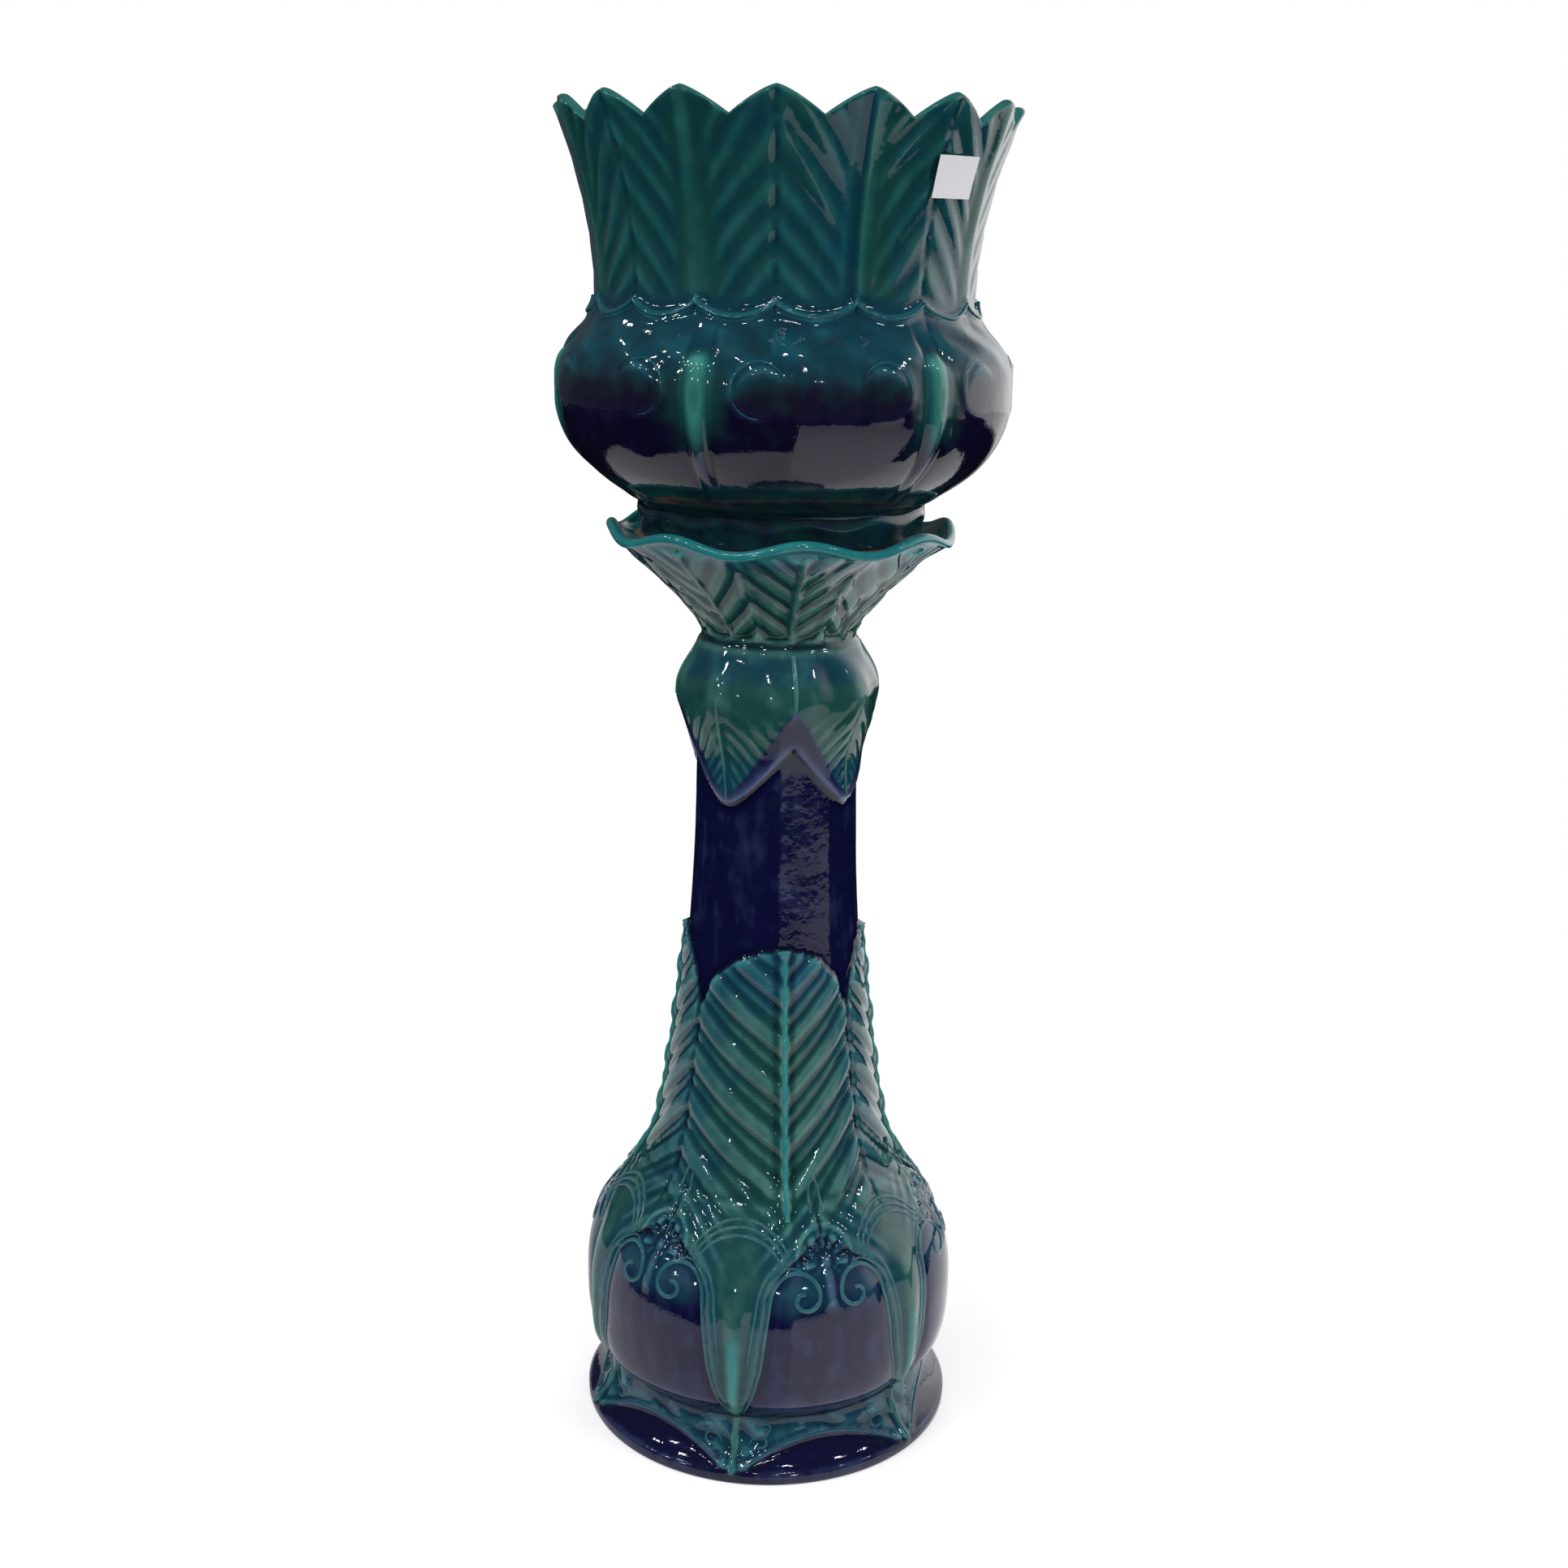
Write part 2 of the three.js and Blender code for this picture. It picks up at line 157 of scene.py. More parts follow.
@dataclass(frozen=True)
class Outline:
    """A plain turned outline, as smooth spans between rings."""

    rings: tuple[Ring, ...]

    def radius(self, z: np.ndarray) -> np.ndarray:
        """Return the radius at each height, from the cubic of the span it lies in.

        Args:
            z: Heights.

        Returns:
            The radii.
        """
        heights = np.array([ring.z for ring in self.rings])
        index = np.clip(np.searchsorted(heights, z, side="right") - 1, 0, len(heights) - 2)
        low = np.array([[ring.z, ring.r, ring.above] for ring in self.rings[:-1]])[index]
        high = np.array([[ring.z, ring.r, ring.below] for ring in self.rings[1:]])[index]
        rise = high[..., 0] - low[..., 0]
        t = np.clip((z - low[..., 0]) / rise, 0.0, 1.0)
        blend = t * t * (3.0 - 2.0 * t)
        leave = t * (1.0 - t) ** 2 * rise * low[..., 2]
        arrive = t * t * (t - 1.0) * rise * high[..., 2]
        return low[..., 1] * (1.0 - blend) + high[..., 1] * blend + leave + arrive

    def levels(self, low: float, high: float, spacing: float) -> np.ndarray:
        """Return heights between two levels, evenly spaced along the outline.

        Args:
            low: Height of the first level.
            high: Height of the last level.
            spacing: Distance along the outline from one level to the next.

        Returns:
            The heights, both ends included.
        """
        fine = np.linspace(low, high, 400)
        steps = np.hypot(np.diff(fine), np.diff(self.radius(fine)))
        along = np.concatenate([[0.0], np.cumsum(steps)])
        count = max(2, int(round(along[-1] / spacing)) + 1)
        return np.interp(np.linspace(0.0, along[-1], count), along, fine)


# ---- the skin that ornament and glaze are put on -----------------------------------------


@dataclass
class Skin:
    """Points of a casting's outside, and what has been modelled and painted on each.

    `leaf`, `tint` and `lip` say which glaze lies there: leaf glaze over the dark ground,
    its shade from green to blue, and the turquoise of rims and stems.
    """

    azimuth: np.ndarray
    z: np.ndarray
    radius: np.ndarray
    relief: np.ndarray = field(init=False)
    leaf: np.ndarray = field(init=False)
    tint: np.ndarray = field(init=False)
    lip: np.ndarray = field(init=False)

    def __post_init__(self) -> None:
        """Start with nothing modelled and the ground glaze everywhere."""
        self.relief = np.zeros(self.z.shape)
        self.leaf = np.zeros(self.z.shape)
        self.tint = np.zeros(self.z.shape)
        self.lip = np.zeros(self.z.shape)

    def paint(self, name: str, amount: np.ndarray | float, where: np.ndarray) -> None:
        """Bring a glaze to `amount` where `where` is 1, and leave it alone where it is 0."""
        old = getattr(self, name)
        setattr(self, name, old + (amount - old) * where)


Motif = Callable[[Skin], None]


@dataclass
class Line:
    """A raised line on a skin, such as a midrib or a scroll, drawn as one path.

    `azimuth` and `z` are its points, `width` its half-width at each, and `leaf`, `tint` and
    `lip` the glaze on it. `sink` is how much of the half-width lies under the skin.
    """

    azimuth: np.ndarray
    z: np.ndarray
    width: np.ndarray
    leaf: float = 1.0
    tint: float = 0.4
    lip: float = 0.0
    sink: float = 0.45


def taper(count: int, middle: float, start: float, end: float) -> np.ndarray:
    """Return half-widths of a line that swells from its start to `middle` and thins again."""
    return np.interp(np.linspace(0, 1, count), [0.0, 0.25, 0.7, 1.0], [start, middle, middle, end])


# ---- small parts of the making ------------------------------------------------------------


def add_node(
    tree: bpy.types.NodeTree,
    kind: str,
    inputs: dict[str | int, object] | None = None,
    **settings: object,
) -> bpy.types.Node:
    """Add a node, set its properties, and set or link its inputs.

    Args:
        tree: The tree to add to.
        kind: The node's type name.
        inputs: Values or output sockets for its inputs, by name or number.
        **settings: The node's own properties.

    Returns:
        The new node.
    """
    made = tree.nodes.new(kind)
    for name, value in settings.items():
        setattr(made, name, value)
    for key, value in (inputs or {}).items():
        if isinstance(value, bpy.types.NodeSocket):
            tree.links.new(value, made.inputs[key])
        else:
            made.inputs[key].default_value = value
    return made


def mesh_object(
    name: str, points: np.ndarray, faces: Sequence[Sequence[int]], edges: Sequence = ()
) -> bpy.types.Object:
    """Make an object at the origin from points in metres and their faces or edges.

    Args:
        name: The object's name.
        points: Its points, in metres.
        faces: Indices of each face's points.
        edges: Indices of each loose edge's points.

    Returns:
        The object.
    """
    mesh = bpy.data.meshes.new(name)
    mesh.from_pydata(points.tolist(), list(edges), list(faces))
    mesh.validate()
    made = bpy.data.objects.new(name, mesh)
    bpy.context.scene.collection.objects.link(made)
    return made


def store(made: bpy.types.Object, name: str, values: np.ndarray) -> None:
    """Store one number for each point of an object's mesh, under a name."""
    attribute = made.data.attributes.new(name, "FLOAT", "POINT")
    attribute.data.foreach_set("value", np.ascontiguousarray(values, dtype=np.float32))


def apply_tree(made: bpy.types.Object, tree: bpy.types.NodeTree, values: dict[str, object]) -> None:
    """Run a Geometry Nodes tree on an object and keep its result as the object's mesh.

    Args:
        made: The object that the tree works on.
        tree: The tree.
        values: The tree's inputs by name; each is set by its socket's identifier.
    """
    modifier = made.modifiers.new(tree.name, "NODES")
    modifier.node_group = tree
    for item in tree.interface.items_tree:
        if item.in_out == "INPUT" and item.name in values:
            modifier[item.identifier] = values[item.name]
    made.update_tag()
    graph = bpy.context.evaluated_depsgraph_get()
    result = bpy.data.meshes.new_from_object(made.evaluated_get(graph))
    made.modifiers.remove(modifier)
    bare, made.data = made.data, result
    bpy.data.meshes.remove(bare)
    result.name = made.name


def on_axis(azimuth: np.ndarray, radius: np.ndarray, z: np.ndarray) -> np.ndarray:
    """Return points in metres from azimuths in degrees and radii and heights in mm."""
    angle = np.radians(azimuth)
    return np.stack([radius * np.sin(angle), -radius * np.cos(angle), z], axis=-1) * MM


# ---- Geometry Nodes -----------------------------------------------------------------------


def new_tree(name: str, inputs: Sequence[tuple[str, str, object]]) -> bpy.types.NodeTree:
    """Start a Geometry Nodes tree with named inputs and one geometry in and out.

    Args:
        name: The tree's name.
        inputs: Name, socket type and default of each input after the geometry.

    Returns:
        The tree, with its group input and output in place.
    """
    tree = bpy.data.node_groups.new(name, "GeometryNodeTree")
    tree.interface.new_socket("Geometry", in_out="INPUT", socket_type="NodeSocketGeometry")
    tree.interface.new_socket("Geometry", in_out="OUTPUT", socket_type="NodeSocketGeometry")
    for label, kind, default in inputs:
        made = tree.interface.new_socket(label, in_out="INPUT", socket_type=kind)
        if default is not None:
            made.default_value = default
    return tree


def relief_tree() -> bpy.types.NodeTree:
    """Build the tree that lifts a casting's skin and finds where its glaze has pooled.

    The stored number "relief" is the ornament's height in mm and "outside" is 1 on the
    modelled side. "pool" becomes the height that a point lacks against its surroundings.

    Returns:
        The tree.
    """
    tree = new_tree(
        "Moulded relief and pooled glaze",
        [
            ("Metres per mm", "NodeSocketFloat", MM),
            ("Hand unevenness", "NodeSocketFloat", 0.9),
            ("Unevenness size", "NodeSocketFloat", 0.04),
            ("Seed", "NodeSocketFloat", 3.0),
            ("Pool reach", "NodeSocketInt", 9),
            ("Glaze", "NodeSocketMaterial", None),
        ],
    )
    given = add_node(tree, "NodeGroupInput").outputs
    relief = add_node(
        tree, "GeometryNodeInputNamedAttribute", {"Name": "relief"}, data_type="FLOAT"
    ).outputs["Attribute"]
    outside = add_node(
        tree, "GeometryNodeInputNamedAttribute", {"Name": "outside"}, data_type="FLOAT"
    ).outputs["Attribute"]
    around = add_node(
        tree,
        "GeometryNodeBlurAttribute",
        {"Value": relief, "Iterations": given["Pool reach"]},
        data_type="FLOAT",
    ).outputs["Value"]
    pool = add_node(tree, "ShaderNodeMath", {0: around, 1: relief}, operation="SUBTRACT").outputs[0]
    kept = add_node(
        tree,
        "GeometryNodeStoreNamedAttribute",
        {"Geometry": given["Geometry"], "Name": "pool", "Value": pool},
        data_type="FLOAT",
        domain="POINT",
    ).outputs["Geometry"]

    place = add_node(tree, "GeometryNodeInputPosition").outputs[0]
    scale = add_node(
        tree, "ShaderNodeMath", {0: 1.0, 1: given["Unevenness size"]}, operation="DIVIDE"
    ).outputs[0]
    noise = add_node(
        tree,
        "ShaderNodeTexNoise",
        {"Vector": place, "W": given["Seed"], "Scale": scale, "Detail": 2.0},
        noise_dimensions="4D",
    ).outputs["Fac"]
    centred = add_node(tree, "ShaderNodeMath", {0: noise, 1: 0.5}, operation="SUBTRACT").outputs[0]
    uneven = add_node(
        tree, "ShaderNodeMath", {0: centred, 1: given["Hand unevenness"]}, operation="MULTIPLY"
    ).outputs[0]
    shown = add_node(tree, "ShaderNodeMath", {0: uneven, 1: outside}, operation="MULTIPLY").outputs[0]
    height = add_node(tree, "ShaderNodeMath", {0: relief, 1: shown}, operation="ADD").outputs[0]
    metres = add_node(
        tree, "ShaderNodeMath", {0: height, 1: given["Metres per mm"]}, operation="MULTIPLY"
    ).outputs[0]
    level = add_node(
        tree, "ShaderNodeVectorMath", {0: place, 1: (1.0, 1.0, 0.0)}, operation="MULTIPLY"
    ).outputs["Vector"]
    outwards = add_node(tree, "ShaderNodeVectorMath", {0: level}, operation="NORMALIZE").outputs["Vector"]
    offset = add_node(
        tree, "ShaderNodeVectorMath", {0: outwards, "Scale": metres}, operation="SCALE"
    ).outputs["Vector"]
    lifted = add_node(tree, "GeometryNodeSetPosition", {"Geometry": kept, "Offset": offset}).outputs[0]
    soft = add_node(tree, "GeometryNodeSetShadeSmooth", {"Geometry": lifted}).outputs[0]
    whole = add_node(tree, "GeometryNodeRealizeInstances", {0: soft}).outputs[0]
    glazed = add_node(
        tree, "GeometryNodeSetMaterial", {"Geometry": whole, "Material": given["Glaze"]}
    ).outputs[0]
    add_node(tree, "NodeGroupOutput", {0: glazed})
    return tree


def line_tree() -> bpy.types.NodeTree:
    """Build the tree that turns drawn paths into raised lines and repeats them round the axis.

    The stored number "half_width" is the line's own, in metres.

    Returns:
        The tree.
    """
    tree = new_tree(
        "Raised lines round the axis",
        [
            ("Repeats", "NodeSocketInt", 1),
            ("Sides", "NodeSocketInt", 8),
            ("Pool", "NodeSocketFloat", -0.45),
            ("Glaze", "NodeSocketMaterial", None),
        ],
    )
    given = add_node(tree, "NodeGroupInput").outputs
    half_width = add_node(
        tree, "GeometryNodeInputNamedAttribute", {"Name": "half_width"}, data_type="FLOAT"
    ).outputs["Attribute"]
    curve = add_node(tree, "GeometryNodeMeshToCurve", {"Mesh": given["Geometry"]}).outputs[0]
    section = add_node(
        tree, "GeometryNodeCurvePrimitiveCircle", {"Resolution": given["Sides"], "Radius": 1.0}
    ).outputs["Curve"]
    tube = add_node(
        tree,
        "GeometryNodeCurveToMesh",
        {"Curve": curve, "Profile Curve": section, "Scale": half_width, "Fill Caps": True},
    ).outputs[0]
    thin = add_node(
        tree,
        "GeometryNodeStoreNamedAttribute",
        {"Geometry": tube, "Name": "pool", "Value": given["Pool"]},
        data_type="FLOAT",
        domain="POINT",
    ).outputs["Geometry"]
    soft = add_node(tree, "GeometryNodeSetShadeSmooth", {"Geometry": thin}).outputs[0]

    places = add_node(
        tree, "GeometryNodeMeshLine", {"Count": given["Repeats"], "Offset": (0.0, 0.0, 0.0)}
    ).outputs[0]
    index = add_node(tree, "GeometryNodeInputIndex").outputs[0]
    pitch = add_node(
        tree, "ShaderNodeMath", {0: math.tau, 1: given["Repeats"]}, operation="DIVIDE"
    ).outputs[0]
    turn = add_node(tree, "ShaderNodeMath", {0: index, 1: pitch}, operation="MULTIPLY").outputs[0]
    about = add_node(tree, "ShaderNodeCombineXYZ", {"Z": turn}).outputs[0]
    rotation = add_node(tree, "FunctionNodeEulerToRotation", {0: about}).outputs[0]
    copies = add_node(
        tree,
        "GeometryNodeInstanceOnPoints",
        {"Points": places, "Instance": soft, "Rotation": rotation},
    ).outputs[0]
    whole = add_node(tree, "GeometryNodeRealizeInstances", {0: copies}).outputs[0]
    glazed = add_node(
        tree, "GeometryNodeSetMaterial", {"Geometry": whole, "Material": given["Glaze"]}
    ).outputs[0]
    add_node(tree, "NodeGroupOutput", {0: glazed})
    return tree


# ---- finishes -----------------------------------------------------------------------------


@dataclass(frozen=True)
class GlazeColour:
    """One coloured glaze: where it runs thin off a ridge, over a flat, and pooled deep."""

    thin: str
    flat: str
    deep: str

    def socket(self, tree: bpy.types.NodeTree, pool: bpy.types.NodeSocket) -> bpy.types.NodeSocket:
        """Return the glaze's colour, driven by how far it has pooled.

        Args:
            tree: The material's node tree.
            pool: 0 on a ridge, 0.5 on a flat and 1 in a hollow.

        Returns:
            The colour socket.
        """
        ramp = add_node(tree, "ShaderNodeValToRGB", {"Fac": pool})
        stops = ramp.color_ramp
        stops.elements[0].position = 0.12
        stops.elements[0].color = linear(self.thin)
        stops.elements[1].position = 0.9
        stops.elements[1].color = linear(self.deep)
        stops.elements.new(0.5).color = linear(self.flat)
        return ramp.outputs["Color"]


@dataclass(frozen=True)
class MajolicaGlaze:
    """Lead-glazed majolica earthenware.

    A soft buff body is pressed in a mould, fired, painted with coloured lead glazes and
    fired again. The glaze is thick and very glossy. It runs while it is molten, so it is
    pale where it has drained off ridges and dark where it has pooled in hollows, and its
    colours bleed into each other along their borders.
    """

    name: str
    ground: GlazeColour
    green: GlazeColour
    blue: GlazeColour
    lip: GlazeColour
    bleed_mm: float = 16.0
    bleed: float = 1.0
    lip_bleed: float = 0.35
    run_mm: float = 9.0
    run_shortening: float = 0.16
    ripple_mm: float = 7.0
    ripple_depth_mm: float = 0.16
    pool_depth_mm: float = 1.5
    pool_unevenness: float = 0.22
    roughness: float = 0.055
    clay_roughness: float = 0.85
    ior: float = 1.52
    clay: str = "#b99873"

    def material(self) -> bpy.types.Material:
        """Make the finish, which reads the place on the object and the numbers stored on it.

        Returns:
            The material.
        """
        made = bpy.data.materials.new(self.name)
        made.use_nodes = True
        tree = made.node_tree
        tree.nodes.clear()
        place = add_node(tree, "ShaderNodeTexCoord").outputs["Object"]
        # Heights are shortened for the runs, which draws them out down the wall.
        drawn = add_node(
            tree,
            "ShaderNodeVectorMath",
            {0: place, 1: (1.0, 1.0, self.run_shortening)},
            operation="MULTIPLY",
        ).outputs["Vector"]
        patterns = ((place, self.bleed_mm, 3.0), (drawn, self.run_mm, 2.0), (place, self.ripple_mm, 2.0))
        mottle, runs, ripple = (
            add_node(
                tree, "ShaderNodeTexNoise", {"Vector": where, "Scale": 1.0 / (size * MM), "Detail": detail}
            ).outputs["Fac"]
            for where, size, detail in patterns
        )
        bare = add_node(tree, "ShaderNodeAttribute", attribute_name="bare").outputs["Fac"]
        colour = self.coats(tree, mottle, runs, bare)
        rough = add_node(
            tree,
            "ShaderNodeMapRange",
            {"Value": bare, "To Min": self.roughness, "To Max": self.clay_roughness},
        ).outputs["Result"]
        bump = add_node(
            tree,
            "ShaderNodeBump",
            {"Strength": 1.0, "Distance": self.ripple_depth_mm * MM, "Height": ripple},
        ).outputs["Normal"]
        surface = add_node(
            tree,
            "ShaderNodeBsdfPrincipled",
            {"Base Color": colour, "Roughness": rough, "IOR": self.ior, "Normal": bump},
        ).outputs["BSDF"]
        add_node(tree, "ShaderNodeOutputMaterial", {"Surface": surface})
        return made

    def coats(
        self,
        tree: bpy.types.NodeTree,
        mottle: bpy.types.NodeSocket,
        runs: bpy.types.NodeSocket,
        bare: bpy.types.NodeSocket,
    ) -> bpy.types.NodeSocket:
        """Lay the glazes over each other: ground, leaf glaze, the turquoise of rims, bare clay.

        Args:
            tree: The material's node tree.
            mottle: Noise in round patches.
            runs: Noise drawn out down the wall.
            bare: 1 where the clay was left unglazed.

        Returns:
            The colour socket.
        """
        pool = self.pooled(tree, mottle, runs)
        leaf_shade = add_node(
            tree,
            "ShaderNodeMix",
            {
                0: self.spread(tree, "tint", mottle, self.bleed),
                6: self.green.socket(tree, pool),
                7: self.blue.socket(tree, pool),
            },
            data_type="RGBA",
        ).outputs[2]
        over = (
            (self.spread(tree, "leaf", mottle, self.bleed), leaf_shade),
            (self.spread(tree, "lip", runs, self.lip_bleed), self.lip.socket(tree, pool)),
            (bare, linear(self.clay)),
        )
        colour = self.ground.socket(tree, pool)
        for part, coat in over:
            colour = add_node(
                tree, "ShaderNodeMix", {0: part, 6: colour, 7: coat}, data_type="RGBA"
            ).outputs[2]
        return colour

    def spread(
        self, tree: bpy.types.NodeTree, name: str, noise: bpy.types.NodeSocket, bleed: float
    ) -> bpy.types.NodeSocket:
        """Return how far a painted glaze covers a point, with a border that has bled.

        Args:
            tree: The material's node tree.
            name: The stored number that says where the glaze was painted.
            noise: What breaks the border up.
            bleed: How much of the noise reaches it.

        Returns:
            A socket from 0 to 1.
        """
        painted = add_node(tree, "ShaderNodeAttribute", attribute_name=name).outputs["Fac"]
        centred = add_node(tree, "ShaderNodeMath", {0: noise, 1: 0.5}, operation="SUBTRACT").outputs[0]
        moved = add_node(
            tree, "ShaderNodeMath", {0: centred, 1: bleed, 2: painted}, operation="MULTIPLY_ADD"
        ).outputs[0]
        return add_node(
            tree,
            "ShaderNodeMapRange",
            {"Value": moved, "From Min": 0.05, "From Max": 0.95},
            interpolation_type="SMOOTHSTEP",
        ).outputs["Result"]

    def pooled(
        self, tree: bpy.types.NodeTree, mottle: bpy.types.NodeSocket, runs: bpy.types.NodeSocket
    ) -> bpy.types.NodeSocket:
        """Return how deep the glaze lies: 0 on a ridge, 0.5 on a flat, 1 in a hollow.

        Args:
            tree: The material's node tree.
            mottle: Noise in round patches.
            runs: Noise drawn out down the wall.

        Returns:
            A socket from 0 to 1.
        """
        lack = add_node(tree, "ShaderNodeAttribute", attribute_name="pool").outputs["Fac"]
        depth = add_node(
            tree,
            "ShaderNodeMapRange",
            {"Value": lack, "From Min": -self.pool_depth_mm, "From Max": self.pool_depth_mm},
        ).outputs["Result"]
        uneven = add_node(tree, "ShaderNodeMath", {0: mottle, 1: runs}, operation="ADD").outputs[0]
        centred = add_node(tree, "ShaderNodeMath", {0: uneven, 1: 1.0}, operation="SUBTRACT").outputs[0]
        return add_node(
            tree,
            "ShaderNodeMath",
            {0: centred, 1: self.pool_unevenness, 2: depth},
            operation="MULTIPLY_ADD",
            use_clamp=True,
        ).outputs[0]


@dataclass(frozen=True)
class LabelPaper:
    """Coated white label paper, printed with nothing: flat, bright and slightly satin."""

    name: str = "coated label paper"
    colour: str = "#e9e9ee"
    fibre_mm: float = 1.2
    roughness: float = 0.5

    def material(self) -> bpy.types.Material:
        """Return the finish as a material.

        Returns:
            The material.
        """
        made = bpy.data.materials.new(self.name)
        made.use_nodes = True
        tree = made.node_tree
        tree.nodes.clear()
        place = add_node(tree, "ShaderNodeTexCoord").outputs["Object"]
        fibres = add_node(
            tree, "ShaderNodeTexNoise", {"Vector": place, "Scale": 1.0 / (self.fibre_mm * MM)}
        ).outputs["Fac"]
        shade = add_node(
            tree, "ShaderNodeMapRange", {"Value": fibres, "To Min": 0.96, "To Max": 1.0}
        ).outputs["Result"]
        colour = add_node(
            tree,
            "ShaderNodeVectorMath",
            {0: linear(self.colour)[:3], "Scale": shade},
            operation="SCALE",
        ).outputs["Vector"]
        surface = add_node(
            tree, "ShaderNodeBsdfPrincipled", {"Base Color": colour, "Roughness": self.roughness}
        ).outputs["BSDF"]
        add_node(tree, "ShaderNodeOutputMaterial", {"Surface": surface})
        return made


PEDESTAL_GLAZE = MajolicaGlaze(
    name="lead-glazed majolica earthenware, cobalt and green",
    ground=GlazeColour(thin="#47527a", flat="#0d0e34", deep="#04041a"),
    green=GlazeColour(thin="#56857a", flat="#1d4a45", deep="#082a29"),
    blue=GlazeColour(thin="#3a7681", flat="#124052", deep="#061e34"),
    lip=GlazeColour(thin="#38958f", flat="#1e7276", deep="#0a444e"),
)
BOWL_GLAZE = MajolicaGlaze(
    name="lead-glazed majolica earthenware, teal and aubergine",
    ground=GlazeColour(thin="#22244a", flat="#0e0b24", deep="#070411"),
    green=GlazeColour(thin="#2e6d60", flat="#17443f", deep="#082a2b"),
    blue=GlazeColour(thin="#236875", flat="#0f3e4d", deep="#062636"),
    lip=GlazeColour(thin="#438d81", flat="#256460", deep="#114546"),
)


# ---- castings -------------------------------------------------------------------------------


@dataclass
class Row:
    """One row of points round the axis, before its ornament is worked out."""

    azimuth: np.ndarray
    z: np.ndarray
    radius: np.ndarray
    outside: float = 0.0
    lip: float = 0.0
    bare: float = 0.0


def columns(count: int, start: float) -> np.ndarray:
    """Return `count` even azimuths round the axis from `start`."""
    return start + np.arange(count) * (360.0 / count)


def stitch(first: np.ndarray, second: np.ndarray) -> list[tuple[int, ...]]:
    """Join two rows of points with faces that look outwards when the second is higher.

    The rows are of one length, or one has twice the other's points.

    Args:
        first: Indices of the lower row's points, round the axis.
        second: Indices of the upper row's points.

    Returns:
        The faces between the rows.
    """
    if len(first) == len(second):
        after_first, after_second = np.roll(first, -1), np.roll(second, -1)
        return list(zip(first, after_first, after_second, second))
    faces: list[tuple[int, ...]] = []
    coarse_is_upper = len(first) > len(second)
    fine, coarse = (first, second) if coarse_is_upper else (second, first)
    for place in range(len(coarse)):
        here, there = coarse[place], coarse[(place + 1) % len(coarse)]
        left, middle = fine[2 * place], fine[2 * place + 1]
        right = fine[(2 * place + 2) % len(fine)]
        made = [(left, middle, here), (middle, there, here), (middle, right, there)]
        faces.extend(made if coarse_is_upper else [face[::-1] for face in made])
    return faces


